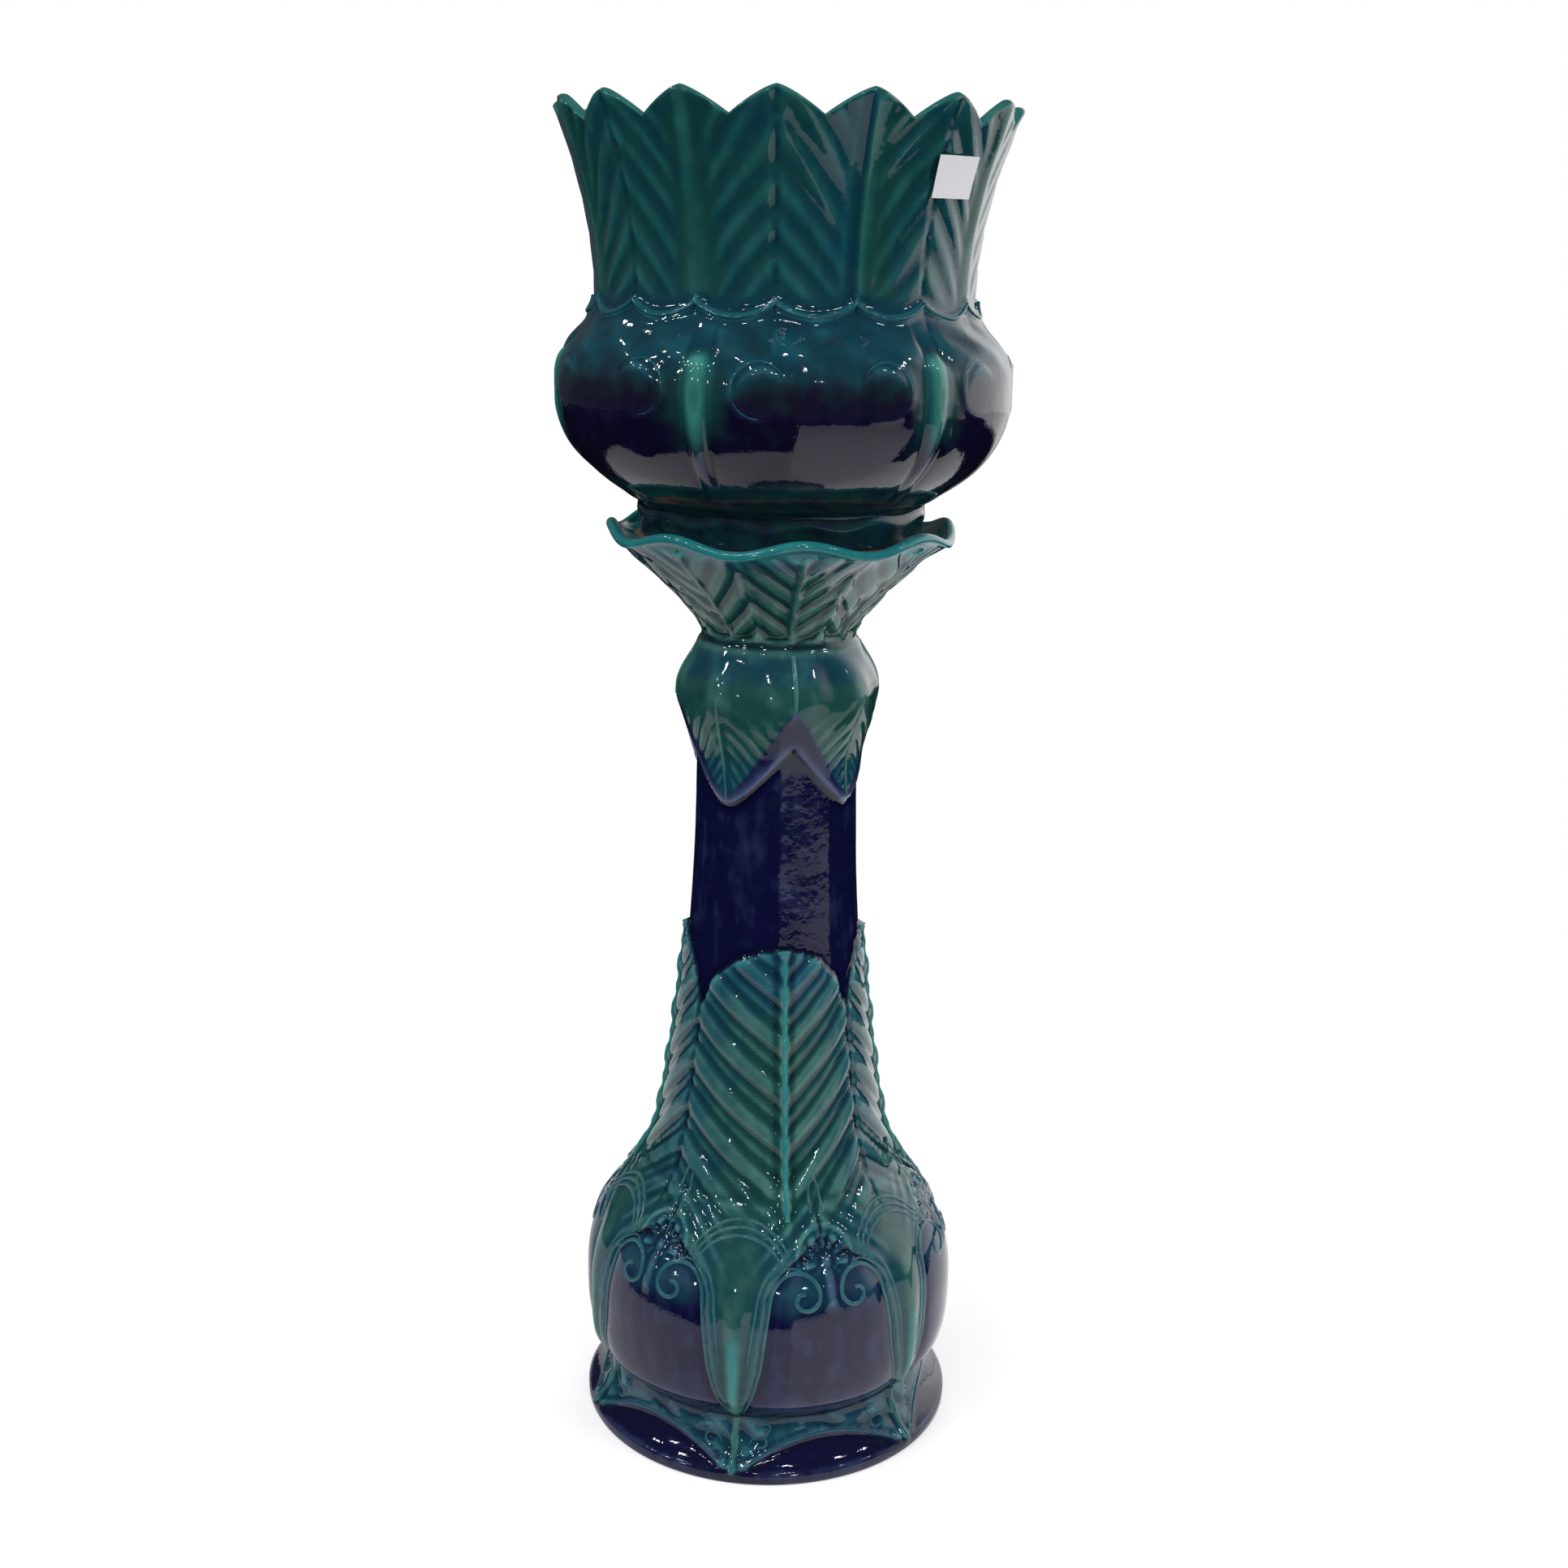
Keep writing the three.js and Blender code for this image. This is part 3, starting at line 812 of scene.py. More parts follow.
@dataclass
class Casting:
    """A closed pressed casting: rows from the pole of one side to the pole of the other."""

    name: str
    rows: list[Row]
    first_pole: float
    last_pole: float
    motifs: tuple[Motif, ...]
    widest: float

    def skin(self, azimuth: np.ndarray, z: np.ndarray, radius: np.ndarray) -> Skin:
        """Return points of the outside with every motif worked on them.

        Args:
            azimuth: Azimuths in degrees.
            z: Heights.
            radius: Radii of the plain outline there.

        Returns:
            The modelled and painted points.
        """
        made = Skin(azimuth, z, radius)
        for motif in self.motifs:
            motif(made)
        return made

    def build(self, tree: bpy.types.NodeTree, material: bpy.types.Material) -> bpy.types.Object:
        """Build the casting's mesh, lift its ornament and glaze it.

        Args:
            tree: The tree that lifts the ornament.
            material: The glaze.

        Returns:
            The casting as one closed object.
        """
        azimuth = np.concatenate([row.azimuth for row in self.rows])
        z = np.concatenate([row.z for row in self.rows])
        radius = np.concatenate([row.radius for row in self.rows])
        sizes = [len(row.azimuth) for row in self.rows]
        outside = np.repeat([row.outside for row in self.rows], sizes)
        lip = np.repeat([row.lip for row in self.rows], sizes)
        bare = np.repeat([row.bare for row in self.rows], sizes)
        skin = self.skin(azimuth, z, radius)
        relief = np.minimum(skin.relief * outside, self.widest - radius)

        poles = np.array([[0.0, 0.0, self.first_pole], [0.0, 0.0, self.last_pole]]) * MM
        points = np.vstack([poles, on_axis(azimuth, radius, z)])
        ends = 2 + np.cumsum([0, *sizes])
        rows = [np.arange(low, high) for low, high in zip(ends[:-1], ends[1:])]
        faces: list[tuple[int, ...]] = [(0, b, a) for a, b in zip(rows[0], np.roll(rows[0], -1))]
        for lower, upper in zip(rows[:-1], rows[1:]):
            faces.extend(stitch(lower, upper))
        faces.extend((1, a, b) for a, b in zip(rows[-1], np.roll(rows[-1], -1)))

        made = mesh_object(self.name, points, [tuple(int(i) for i in face) for face in faces])
        with_poles = {
            "relief": relief,
            "outside": outside,
            "leaf": skin.leaf * outside,
            "tint": skin.tint,
            "lip": np.maximum(skin.lip * outside, lip),
            "bare": bare,
        }
        for label, values in with_poles.items():
            store(made, label, np.concatenate([values[:1], values[-1:], values]))
        apply_tree(made, tree, {"Glaze": material})
        return made

    def lay(
        self,
        name: str,
        lines: Sequence[Line],
        outline: Outline,
        tree: bpy.types.NodeTree,
        material: bpy.types.Material,
        repeats: int,
    ) -> bpy.types.Object:
        """Lay raised lines on the casting's skin and repeat them round the axis.

        Args:
            name: The new piece's name.
            lines: The lines of one repeat.
            outline: The casting's plain outline.
            tree: The tree that makes the lines.
            material: The glaze.
            repeats: How many times round the axis.

        Returns:
            The lines as one object.
        """
        points: list[np.ndarray] = []
        edges: list[tuple[int, int]] = []
        stored: dict[str, list[np.ndarray]] = {key: [] for key in ("half_width", "leaf", "tint", "lip")}
        for line in lines:
            skin = self.skin(line.azimuth, line.z, outline.radius(line.z))
            radius = skin.radius + skin.relief - line.width * line.sink
            radius = np.minimum(radius, self.widest - line.width)
            start = sum(len(some) for some in points)
            points.append(on_axis(line.azimuth, radius, line.z))
            edges += [(start + at, start + at + 1) for at in range(len(line.z) - 1)]
            stored["half_width"].append(line.width * MM)
            for key in ("leaf", "tint", "lip"):
                stored[key].append(np.full(len(line.z), getattr(line, key)))
        made = mesh_object(name, np.vstack(points), [], edges)
        for label, values in stored.items():
            store(made, label, np.concatenate(values))
        apply_tree(made, tree, {"Repeats": repeats, "Glaze": material})
        return made


def turned_rows(
    outline: Outline, heights: np.ndarray, azimuth: np.ndarray, outside: float, inset: float = 0.0
) -> list[Row]:
    """Return one row round the axis for each height of an outline.

    Args:
        outline: The outline to turn.
        heights: The rows' heights.
        azimuth: Azimuths of each row's points, in degrees.
        outside: 1 on the modelled side, 0 on the inside.
        inset: How far the rows lie inside the outline.

    Returns:
        The rows, in the order of the heights.
    """
    made = []
    for height in heights:
        z = np.full(len(azimuth), float(height))
        made.append(Row(azimuth, z, outline.radius(z) - inset, outside))
    return made


def plain_row(azimuth: np.ndarray, z: float, radius: float, **kind: float) -> Row:
    """Return a level round row that carries no ornament."""
    return Row(azimuth, np.full(len(azimuth), z), np.full(len(azimuth), radius), **kind)


# ---- the pedestal ---------------------------------------------------------------------------


@dataclass
class PedestalStand:
    """The pedestal: a bulb on a spreading foot, a tall trunk, a knop and a wavy dished top.

    The outline's rings come first, each with its height and its radius. A depth is how far
    modelled ornament stands out, and a phase is the azimuth of the first of what repeats.
    """

    foot_edge: float = 8.0
    foot_radius: float = 137.0
    foot_rest_width: float = 14.0
    crease: float = 42.0
    crease_radius: float = 117.0
    bulb: float = 104.0
    bulb_radius: float = 132.0
    shoulder: float = 185.0
    shoulder_radius: float = 102.0
    trunk: float = 241.0
    trunk_radius: float = 78.0
    shaft: float = 501.0
    shaft_radius: float = 57.0
    knop: float = 554.0
    knop_radius: float = 68.0
    neck: float = 594.0
    neck_radius: float = 53.0
    lip: float = 662.0
    trumpet_radius: float = 118.0
    crest: float = 667.0
    seat: float = 660.0
    seat_radius: float = 100.0
    seat_thickness: float = 9.0
    wall: float = 8.0
    lip_roll: float = 3.8
    wave_height: float = 4.0
    wave_span: float = 22.0
    waves: int = 8
    phase: float = 7.5
    bosses: int = 6
    boss_phase: float = 20.0
    boss_depth: float = 6.0
    boss_levels: tuple[float, ...] = (44, 52, 66, 90, 120, 146, 160, 171, 180)
    boss_widths: tuple[float, ...] = (29, 27.5, 25, 22.5, 21, 19.5, 15, 8, 0.5)
    bulb_leaf_depth: float = 4.0
    stem_depth: float = 2.6
    flower: float = 165.0
    leaves: int = 4
    front_leaf: tuple[float, float] = (-50.0, 51.0)
    blade_depth: float = 1.4
    rib_depth: float = 1.9
    knop_phase: float = 10.0
    hanging_depth: float = 2.8
    vein_pitch: float = 10.5
    trumpet_rib_pitch: float = 15.5
    leaf_top: float = 376.0
    leaf_round: float = 62.0
    rib_start: float = 199.0
    rib_slope: float = 1.05
    rib_pitch: float = 36.0
    inner_ring: float = 40.0
    fine_columns: int = 432
    spacing: float = 2.5

    def __post_init__(self) -> None:
        """Work out the outline and the places between bosses and between leaves."""
        self.stem_phase = self.boss_phase + 180.0 / self.bosses
        self.half_leaf = 180.0 / self.leaves
        self.outline = Outline(
            (
                Ring(self.foot_edge, self.foot_radius, above=-1.3),
                Ring(self.crease, self.crease_radius, above=0.8),
                Ring(self.bulb, self.bulb_radius),
                Ring(self.shoulder, self.shoulder_radius, below=-0.82, above=-0.82),
                Ring(self.trunk, self.trunk_radius, below=-0.17, above=-0.17),
                Ring(self.shaft, self.shaft_radius),
                Ring(self.knop, self.knop_radius),
                Ring(self.neck, self.neck_radius, above=0.5),
                Ring(self.lip, self.trumpet_radius, below=1.1),
            )
        )

    # -- ornament --

    def boss_half_width(self, z: np.ndarray) -> np.ndarray:
        """Return half the width of a boss in degrees: wide low down, closing at its top."""
        return np.interp(z, self.boss_levels, self.boss_widths)

    def foot_leaves(self, skin: Skin) -> None:
        """Model dark panels under arched lines round the foot, and a leaf under each stem.

        Args:
            skin: The points to work on.
        """
        inside = band(skin.z, self.foot_edge, self.crease + 4, 5)
        from_boss = nearest(skin.azimuth, self.bosses, self.boss_phase)
        from_stem = arc(nearest(skin.azimuth, self.bosses, self.stem_phase), skin.radius)
        arch = self.foot_arch(from_boss)
        above = smooth(skin.z, arch - 1, arch + 3)
        skin.relief += 2.0 * bead(skin.z - arch, 3.6) * inside - 1.0 * (1 - above) * inside
        height = (skin.z - self.foot_edge) / (self.crease - self.foot_edge)
        lobes = 3.0 * np.cos(skin.z * math.tau / 11.0)
        blade = 1 - smooth(np.abs(from_stem), 5 + 16 * height + lobes, 9 + 20 * height + lobes)
        skin.relief += 1.5 * blade * inside
        swirl = np.sin(skin.z / 3.1 + 2.2 * np.cos(np.radians(skin.azimuth) * 12.0) + from_stem / 9.0)
        skin.relief += 0.7 * swirl * above * inside
        skin.relief += 2.4 * bead(from_stem, 4.0) * band(skin.z, self.foot_edge - 4, self.crease + 4, 4)
        skin.paint("leaf", 0.72, above * inside)
        skin.paint("leaf", 0.9, blade * inside)
        skin.paint("tint", 0.95, above * inside)
        beside = smooth(from_stem, -30, -10) * smooth(-from_stem, -30, -10)
        skin.paint("leaf", 0.4, (1 - above) * inside * beside)
        skin.paint("leaf", 1.0, bead(from_stem, 7.0) * inside)
        skin.paint("tint", 0.45, bead(from_stem, 7.0) * inside)

    def foot_arch(self, from_boss: np.ndarray) -> np.ndarray:
        """Return the height of the arched line that spans the foot under each boss."""
        half_pitch, rise = 180.0 / self.bosses, 21.0
        return self.foot_edge + rise * (1.0 - (from_boss / half_pitch) ** 2) ** 1.2

    def bulb_bosses(self, skin: Skin) -> None:
        """Model smooth bosses round the bulb, the stems between them and a flower over each.

        Args:
            skin: The points to work on.
        """
        from_boss = nearest(skin.azimuth, self.bosses, self.boss_phase)
        from_stem = nearest(skin.azimuth, self.bosses, self.stem_phase)
        width = self.boss_half_width(skin.z)
        level = band(skin.z, self.crease, 200, 4)
        inside = 1 - smooth(np.abs(from_boss), width - 1.2, width + 1.2)
        swell = smooth(skin.z, 42, 62) * (1 - smooth(skin.z, 146, 178))
        skin.relief += self.boss_depth * dome(from_boss / np.maximum(width, 1.0)) * swell
        leaf = level * (1 - inside)
        thick = smooth(skin.z, 40, 54) * (1 - 0.75 * smooth(skin.z, 160, 196))
        skin.relief += self.bulb_leaf_depth * leaf * thick
        stem_width = np.interp(skin.z, [44, 60, 95, 130, 160], [3.0, 5.0, 9.0, 14.0, 19.0])
        across = arc(from_stem, skin.radius)
        skin.relief += self.stem_depth * bead(across, stem_width) * band(skin.z, 42, 168, 26)
        rise = (skin.z - 1.1 * np.abs(across)) / 15.0
        swept = plateau(rise, 0.4, 0.2) * band(skin.z, 150, 200, 14) * smooth(np.abs(across), 8, 22)
        skin.relief += 0.8 * swept * (1 - inside)
        skin.paint("leaf", 1.0, leaf)
        skin.paint("tint", 0.6 - 0.35 * bead(across, 20.0), leaf)
        bright = bead(across, 8.0) * band(skin.z, 50, 128, 22)
        skin.paint("lip", 0.7, bright)
        self.boss_flower(skin, from_boss, inside)

    def boss_flower(self, skin: Skin, from_boss: np.ndarray, inside: np.ndarray) -> None:
        """Model the petalled flower over a boss, and the blue glaze that runs down from it.

        Args:
            skin: The points to work on.
            from_boss: Degrees from the middle of the nearest boss.
            inside: 1 within a boss, 0 outside it.
        """
        across = arc(from_boss, skin.radius)
        up = skin.z - self.flower
        reach = np.hypot(across, up)
        petals = np.cos(np.arctan2(across, up) * 11.0)
        open_below = 1 - smooth(-up, 2, 9)
        flower = band(reach, 4.5, 18.0, 4) * open_below
        skin.relief += flower * (0.7 + 1.3 * petals)
        skin.relief += 1.8 * bead(reach, 5.5)
        skin.relief += 1.2 * bead(reach - 20.0, 2.6) * open_below
        skin.relief += 1.6 * bead(across, 5.0) * band(skin.z, 132, 166, 10)
        run = inside * smooth(skin.z, 122, 142) * (1 - smooth(skin.z, 176, 190))
        skin.paint("leaf", 0.5, run)
        skin.paint("tint", 1.0, inside * smooth(skin.z, 118, 136))
        skin.paint("leaf", 0.7, flower)
        skin.paint("tint", 1.0, flower)

    def trunk_coordinate(self, azimuth: np.ndarray) -> np.ndarray:
        """Return degrees from the nearest trunk leaf's midrib, stretched so that all are as wide.

        The leaves were cut by hand, so the front one is a little wider on its left.

        Args:
            azimuth: Azimuths in degrees.

        Returns:
            The angles, from minus half a leaf to half a leaf.
        """
        left, right = self.front_leaf
        half, edge = self.half_leaf, right - left
        knots = [0.0, self.phase - left, edge]
        values = [-half, 0.0, half]
        for leaf in range(1, self.leaves):
            knots.append(edge + self.other_leaf_width() * leaf)
            values.append(half + 2 * half * leaf)
        stretched = np.interp(np.mod(azimuth - left, 360.0), knots, values)
        return np.mod(stretched + half, 2 * half) - half

    def other_leaf_width(self) -> float:
        """Return how many degrees each trunk leaf has, apart from the front one."""
        left, right = self.front_leaf
        return (360.0 - (right - left)) / (self.leaves - 1)

    def trunk_leaves(self, skin: Skin) -> None:
        """Model the tall leaves of the trunk: broad ribs rising from each midrib to the edge.

        Args:
            skin: The points to work on.
        """
        offset = self.trunk_coordinate(skin.azimuth)
        across = np.abs(arc(offset, skin.radius))
        rise = (skin.z - self.rib_start - self.rib_slope * across) / self.rib_pitch
        turn = np.abs(rise - np.round(rise))
        rib = plateau(rise, 0.36 + 0.12 * smooth(across, 8, 45), 0.1)
        fine = bead(turn - 0.5, 0.15)
        below = np.clip((self.leaf_top - skin.z) / self.leaf_round, 0.0, 1.0)
        edge = (self.half_leaf + 0.6) * np.sqrt(1.0 - (1.0 - below) ** 2.2)
        notched = edge - 1.0 * (1 - rib) * smooth(edge, 8, 30)
        blade = (1 - smooth(np.abs(offset), notched - 1.2, notched + 0.6)) * smooth(edge, 0.5, 4)
        blade = blade * smooth(skin.z, self.shoulder - 14, self.shoulder + 22)
        skin.relief += blade * (self.blade_depth + self.rib_depth * rib + 0.8 * fine * (1 - rib))
        skin.relief -= 0.5 * blade * bead(across - 5.0, 4.0)
        skin.relief += 2.3 * bead(across, 4.5) * blade
        skin.relief -= 0.9 * bead(arc(self.half_leaf - np.abs(offset), skin.radius), 3.0) * blade
        skin.paint("leaf", 1.0, blade)
        skin.paint("tint", 0.25, blade)
        skin.paint("tint", 0.95, blade * smooth(skin.z, 310, 362))
        skin.paint("tint", 0.6, blade * smooth(np.abs(offset), 14, 40))
        skin.paint("lip", 0.25, blade * bead(across, 3.4))

    def hanging_edge(self, offset: np.ndarray, notch: float, tip: float) -> np.ndarray:
        """Return the height of a hanging leaf's edge, from its tip at 0 to the notch at 1."""
        return tip + (notch - tip) * np.sqrt(offset**2 + 0.02) ** 1.25

    def knop_leaves(self, skin: Skin) -> None:
        """Model the four leaves that hang over the knop, with a raised border and fanned veins.

        Args:
            skin: The points to work on.
        """
        tip = nearest(skin.azimuth, self.leaves, self.knop_phase + self.half_leaf)
        offset = np.abs(tip) / self.half_leaf
        outer = self.hanging_edge(offset, 521.0, 475.0)
        inner = self.hanging_edge(offset, 550.0, 481.0)
        leaf = smooth(skin.z, outer - 1.2, outer + 1.4) * (1 - smooth(skin.z, 586, 592))
        field_part = smooth(skin.z, inner - 2.0, inner + 3.0)
        border = leaf * (1 - field_part)
        skin.relief += self.hanging_depth * leaf + 0.5 * border
        across = np.abs(arc(tip, skin.radius))
        slope = 1.5 - 0.8 * smooth(skin.z, 488, 550)
        wander = 0.12 * np.sin(skin.z / 11.0 + skin.azimuth / 13.0)
        veins = plateau((skin.z + slope * across) / self.vein_pitch + wander, 0.4, 0.22)
        lower = field_part * (1 - smooth(skin.z, 522, 552))
        skin.relief += 0.9 * veins * lower * smooth(across, 1, 6)
        skin.relief += 1.7 * np.cos(np.radians(tip) * 8.0) * band(skin.z, 532, 588, 22)
        facet = np.cos(np.radians(skin.azimuth - self.knop_phase) * 12.0 + skin.z / 16.0)
        skin.relief += 0.6 * facet * band(skin.z, 545, 590, 12)
        skin.paint("leaf", 1.0, leaf)
        skin.paint("tint", 0.1, leaf)
        skin.paint("tint", 0.9, leaf * (1 - smooth(skin.z, 486, 530)))
        skin.paint("tint", 0.6, leaf * band(skin.z, 560, 592, 10))
        skin.paint("leaf", 0.12, border)
        skin.paint("tint", 1.0, border)

    def trumpet_leaves(self, skin: Skin) -> None:
        """Model the leaves under the wavy lip: a midrib up each, and ribs that rise from it.

        Args:
            skin: The points to work on.
        """
        inside = band(skin.z, self.neck - 2, self.lip - 1, 5)
        offset = nearest(skin.azimuth, self.waves, self.phase)
        across = np.abs(arc(offset, skin.radius))
        bent = 1.6 * np.sin(skin.z / 14.0 + np.sign(offset))
        rise = (skin.z - self.neck - 0.78 * across + bent) / self.trumpet_rib_pitch
        rib = plateau(rise, 0.6, 0.18)
        skin.relief += inside * (2.0 * rib - 1.3) * smooth(across, 0, 5)
        hollow = bead(arc(offset + 4.5, skin.radius), 7.0) * (1 - smooth(skin.z, 612, 640))
        skin.relief -= inside * 1.8 * hollow
        between = arc(180.0 / self.waves - np.abs(offset), skin.radius)
        skin.relief += inside * 1.6 * bead(between, 6.0)
        skin.relief += inside * 1.5 * bead(arc(offset - 1.0, skin.radius), 3.5)
        skin.relief += inside * 1.4 * np.cos(np.radians(offset) * self.waves) * smooth(skin.z, 600, 650)
        skin.relief += 1.6 * bead(skin.z - self.neck + 1, 3.0)
        cover = smooth(skin.z, self.neck - 6, self.neck + 2)
        skin.paint("leaf", 1.0, cover)
        skin.paint("tint", 0.0, cover)
        skin.paint("tint", 0.8, smooth(skin.z, self.lip - 22, self.lip - 6))
        skin.paint("lip", 1.0, smooth(skin.z, self.lip - 12, self.lip - 1))

    def lift(self, azimuth: np.ndarray, z: np.ndarray, start: float) -> np.ndarray:
        """Return how far the lip's waves lift each point, growing from `start` to the crest."""
        return self.wave(azimuth) * smooth(z, start, self.crest)

    def wave(self, azimuth: np.ndarray) -> np.ndarray:
        """Return the height of the lip's waves round the axis."""
        return self.wave_height * np.cos(np.radians(azimuth - self.phase) * self.waves)

    # -- making --

    def rows(self) -> list[Row]:
        """Return the casting's rows, from the hollow's roof down and up the outside to the seat.

        Returns:
            The rows, in order along the wall.
        """
        fine = columns(self.fine_columns, self.phase)
        middle = columns(self.fine_columns // 2, self.phase)
        coarse = columns(self.fine_columns // 4, self.phase)
        roof = self.seat - self.seat_thickness
        hollow = self.outline.levels(self.crease, roof - 2, 22.0)[::-1]
        made = [
            plain_row(coarse, roof, self.inner_ring, bare=1.0),
            plain_row(coarse, roof, float(self.outline.radius(np.array(roof))) - self.wall - 1, bare=1.0),
        ]
        for row in turned_rows(self.outline, hollow, coarse, 0.0, self.wall):
            row.bare = 1.0
            made.append(row)
        rest = self.foot_radius - self.foot_rest_width
        made += [
            plain_row(coarse, 1.5, rest, bare=1.0),
            plain_row(middle, 0.0, rest + 1.5, bare=1.0),
            plain_row(fine, 0.0, self.foot_radius - 2.0, bare=1.0),
            plain_row(fine, 0.6, self.foot_radius - 0.8),
            plain_row(fine, 2.2, self.foot_radius),
            plain_row(fine, 5.5, self.foot_radius),
        ]
        # Rows lie closer where the ornament is fine, and wide apart on the plain shaft.
        close, wide = self.spacing - 0.3, 9.0
        stretches = (
            (self.foot_edge, 200.0, self.spacing, fine),
            (202.5, 380.0, close, middle),
            (388.0, 462.0, wide, middle),
            (468.0, 598.0, close, middle),
            (600.0, self.lip - 1, self.spacing, fine),
        )
        for low, high, spacing, around in stretches:
            made += turned_rows(self.outline, self.outline.levels(low, high, spacing), around, 1.0)
        for row in made:
            if row.outside:
                row.z = row.z + self.lift(row.azimuth, row.z, self.crest - self.wave_span)
        made += self.lip_rows(fine)
        made += self.seat_rows(fine, middle, coarse)
        return made

    def lip_rows(self, azimuth: np.ndarray) -> list[Row]:
        """Return the rows over the rolled lip, a half round from outside to inside.

        Args:
            azimuth: Azimuths of each row's points, in degrees.

        Returns:
            The rows.
        """
        centre_r, centre_z = self.trumpet_radius - 1.6, self.lip + 1.2
        made = []
        for angle in np.radians(np.linspace(-38, 168, 9)):
            z = centre_z + self.lip_roll * math.sin(angle) + self.wave(azimuth)
            radius = np.full(len(azimuth), centre_r + self.lip_roll * math.cos(angle))
            made.append(Row(azimuth, z, radius, lip=1.0))
        return made

    def seat_rows(self, fine: np.ndarray, middle: np.ndarray, coarse: np.ndarray) -> list[Row]:
        """Return the rows down the dish inside the lip and over the flat seat.

        Args:
            fine: Close azimuths, as on the lip.
            middle: Azimuths half as close.
            coarse: Azimuths a quarter as close.

        Returns:
            The rows.
        """
        top_radius, top_height = self.trumpet_radius - 5.4, self.lip + 1.6 - self.seat
        made = []
        for part in (0.25, 0.55, 0.85):
            radius = np.full(len(fine), top_radius - (top_radius - self.seat_radius) * part)
            z = self.seat + top_height * (1 - part) ** 1.5 + self.wave(fine) * (1 - part)
            made.append(Row(fine, np.maximum(z, self.seat), radius, lip=0.6))
        made += [
            plain_row(fine, self.seat, self.seat_radius, lip=0.3, bare=0.4),
            plain_row(middle, self.seat, self.seat_radius - 12.0, bare=0.8),
            plain_row(coarse, self.seat, self.inner_ring, bare=0.8),
        ]
        return made

    def lines(self) -> dict[str, tuple[int, list[Line]]]:
        """Return the raised lines by piece, each with how often it repeats round the axis.

        Returns:
            The number of repeats and the lines of one, for each piece's name.
        """
        return {
            "pedestal_bulb_scrolls": (self.bosses, self.scrolls()),
            "pedestal_foot_lines": (self.bosses, self.foot_lines()),
            "pedestal_trunk_midribs": (1, self.trunk_midribs()),
            "pedestal_knop_ribs": (self.leaves, self.knop_lines()),
        }

    def scrolls(self) -> list[Line]:
        """Draw the borders of a boss, which curl in over its top as two scrolls.

        Returns:
            The lines of one repeat.
        """
        made = []
        eye_z, eye_radius, eye_offset = 143.0, 124.0, 8.6
        climb = np.linspace(50.0, eye_z, 26)
        edge = self.boss_half_width(climb) - 0.6
        turn = np.linspace(0.0, 2.6 * math.pi, 48)[1:]
        reach = math.radians(edge[-1] - eye_offset) * eye_radius * np.exp(-0.24 * turn)
        curl = eye_offset + np.degrees(reach * np.cos(turn) / eye_radius)
        z = np.concatenate([climb, eye_z + reach * np.sin(turn)])
        for side in (-1.0, 1.0):
            azimuth = self.boss_phase + side * np.concatenate([edge, curl])
            made.append(Line(azimuth, z, taper(len(z), 1.9, 0.9, 1.8), tint=0.8, lip=0.1))
            for order in (1, 2):
                count = 16 - 3 * order
                apart = 2.0 * order
                wide = np.concatenate([edge + apart, curl[:count] + np.linspace(apart, 1.3 * apart, count)])
                turned = z[len(climb) : len(climb) + count]
                over = np.concatenate([climb, turned + np.linspace(0.5, 4.2 * order, count)])
                line = slice(6 * order, None)
                width = taper(len(over[line]), 1.3, 0.6, 0.6)
                made.append(Line(self.boss_phase + side * wide[line], over[line], width, tint=0.7))
        made += self.head_lines()
        return made

    def head_lines(self) -> list[Line]:
        """Draw the arched lines over the head of the leaf between two bosses, and a bud over a fan.

        Returns:
            The lines of one repeat.
        """
        made = []
        angle = np.linspace(math.radians(8), math.radians(172), 30)
        for grow in (0.0, 4.5, 9.0):
            head = self.stem_phase + (14.5 + 0.4 * grow) * np.cos(angle)
            z = 160.0 + (20.0 + grow) * np.sin(angle)
            made.append(Line(head, z, taper(len(z), 1.6, 0.7, 0.7), tint=0.6))
        angle = np.linspace(0.0, math.pi, 24)
        bud = self.boss_phase + 2.6 * np.cos(angle)
        z = 192.0 + 22.0 * np.sin(angle) ** 0.7
        made.append(Line(bud, z, np.full(24, 1.2), tint=0.5))
        return made

    def foot_lines(self) -> list[Line]:
        """Draw the midrib of a foot leaf, the curls beside it and the arch to the next leaf.

        Returns:
            The lines of one repeat.
        """
        stem, radius = self.stem_phase, 126.0
        down = np.linspace(44.0, 9.0, 14)
        width = taper(len(down), 1.7, 1.5, 0.9)
        made = [Line(np.full(len(down), stem), down, width, tint=0.4, lip=0.3)]
        offset = np.linspace(-27.5, 27.5, 44)
        width = taper(len(offset), 1.3, 0.7, 0.7)
        made.append(Line(self.boss_phase + offset, self.foot_arch(offset), width, tint=0.9, leaf=0.7))
        turn = np.linspace(0.0, 1.7 * math.pi, 30)
        for side in (-1.0, 1.0):
            for base, start in ((24.0, 8.5), (34.0, 6.0)):
                reach = start * np.exp(-0.22 * turn)
                curl = stem + side * (4.6 + 34.0 / start - np.degrees(reach * np.cos(turn) / radius))
                z = base + 0.8 * reach * np.sin(turn)
                made.append(Line(curl, z, taper(len(turn), 1.1, 0.5, 1.1), tint=0.8, leaf=0.8))
        return made

    def trunk_midribs(self) -> list[Line]:
        """Draw the pale midrib of each trunk leaf.

        Returns:
            A line for each leaf.
        """
        start, width = self.front_leaf[1], self.other_leaf_width()
        places = [self.phase] + [start + width * (leaf + 0.5) for leaf in range(self.leaves - 1)]
        z = np.linspace(self.shoulder + 3.0, self.leaf_top - 3.0, 60)
        half_width = taper(len(z), 2.1, 1.9, 0.8)
        return [Line(np.full(len(z), place), z, half_width, tint=0.25, lip=0.75) for place in places]

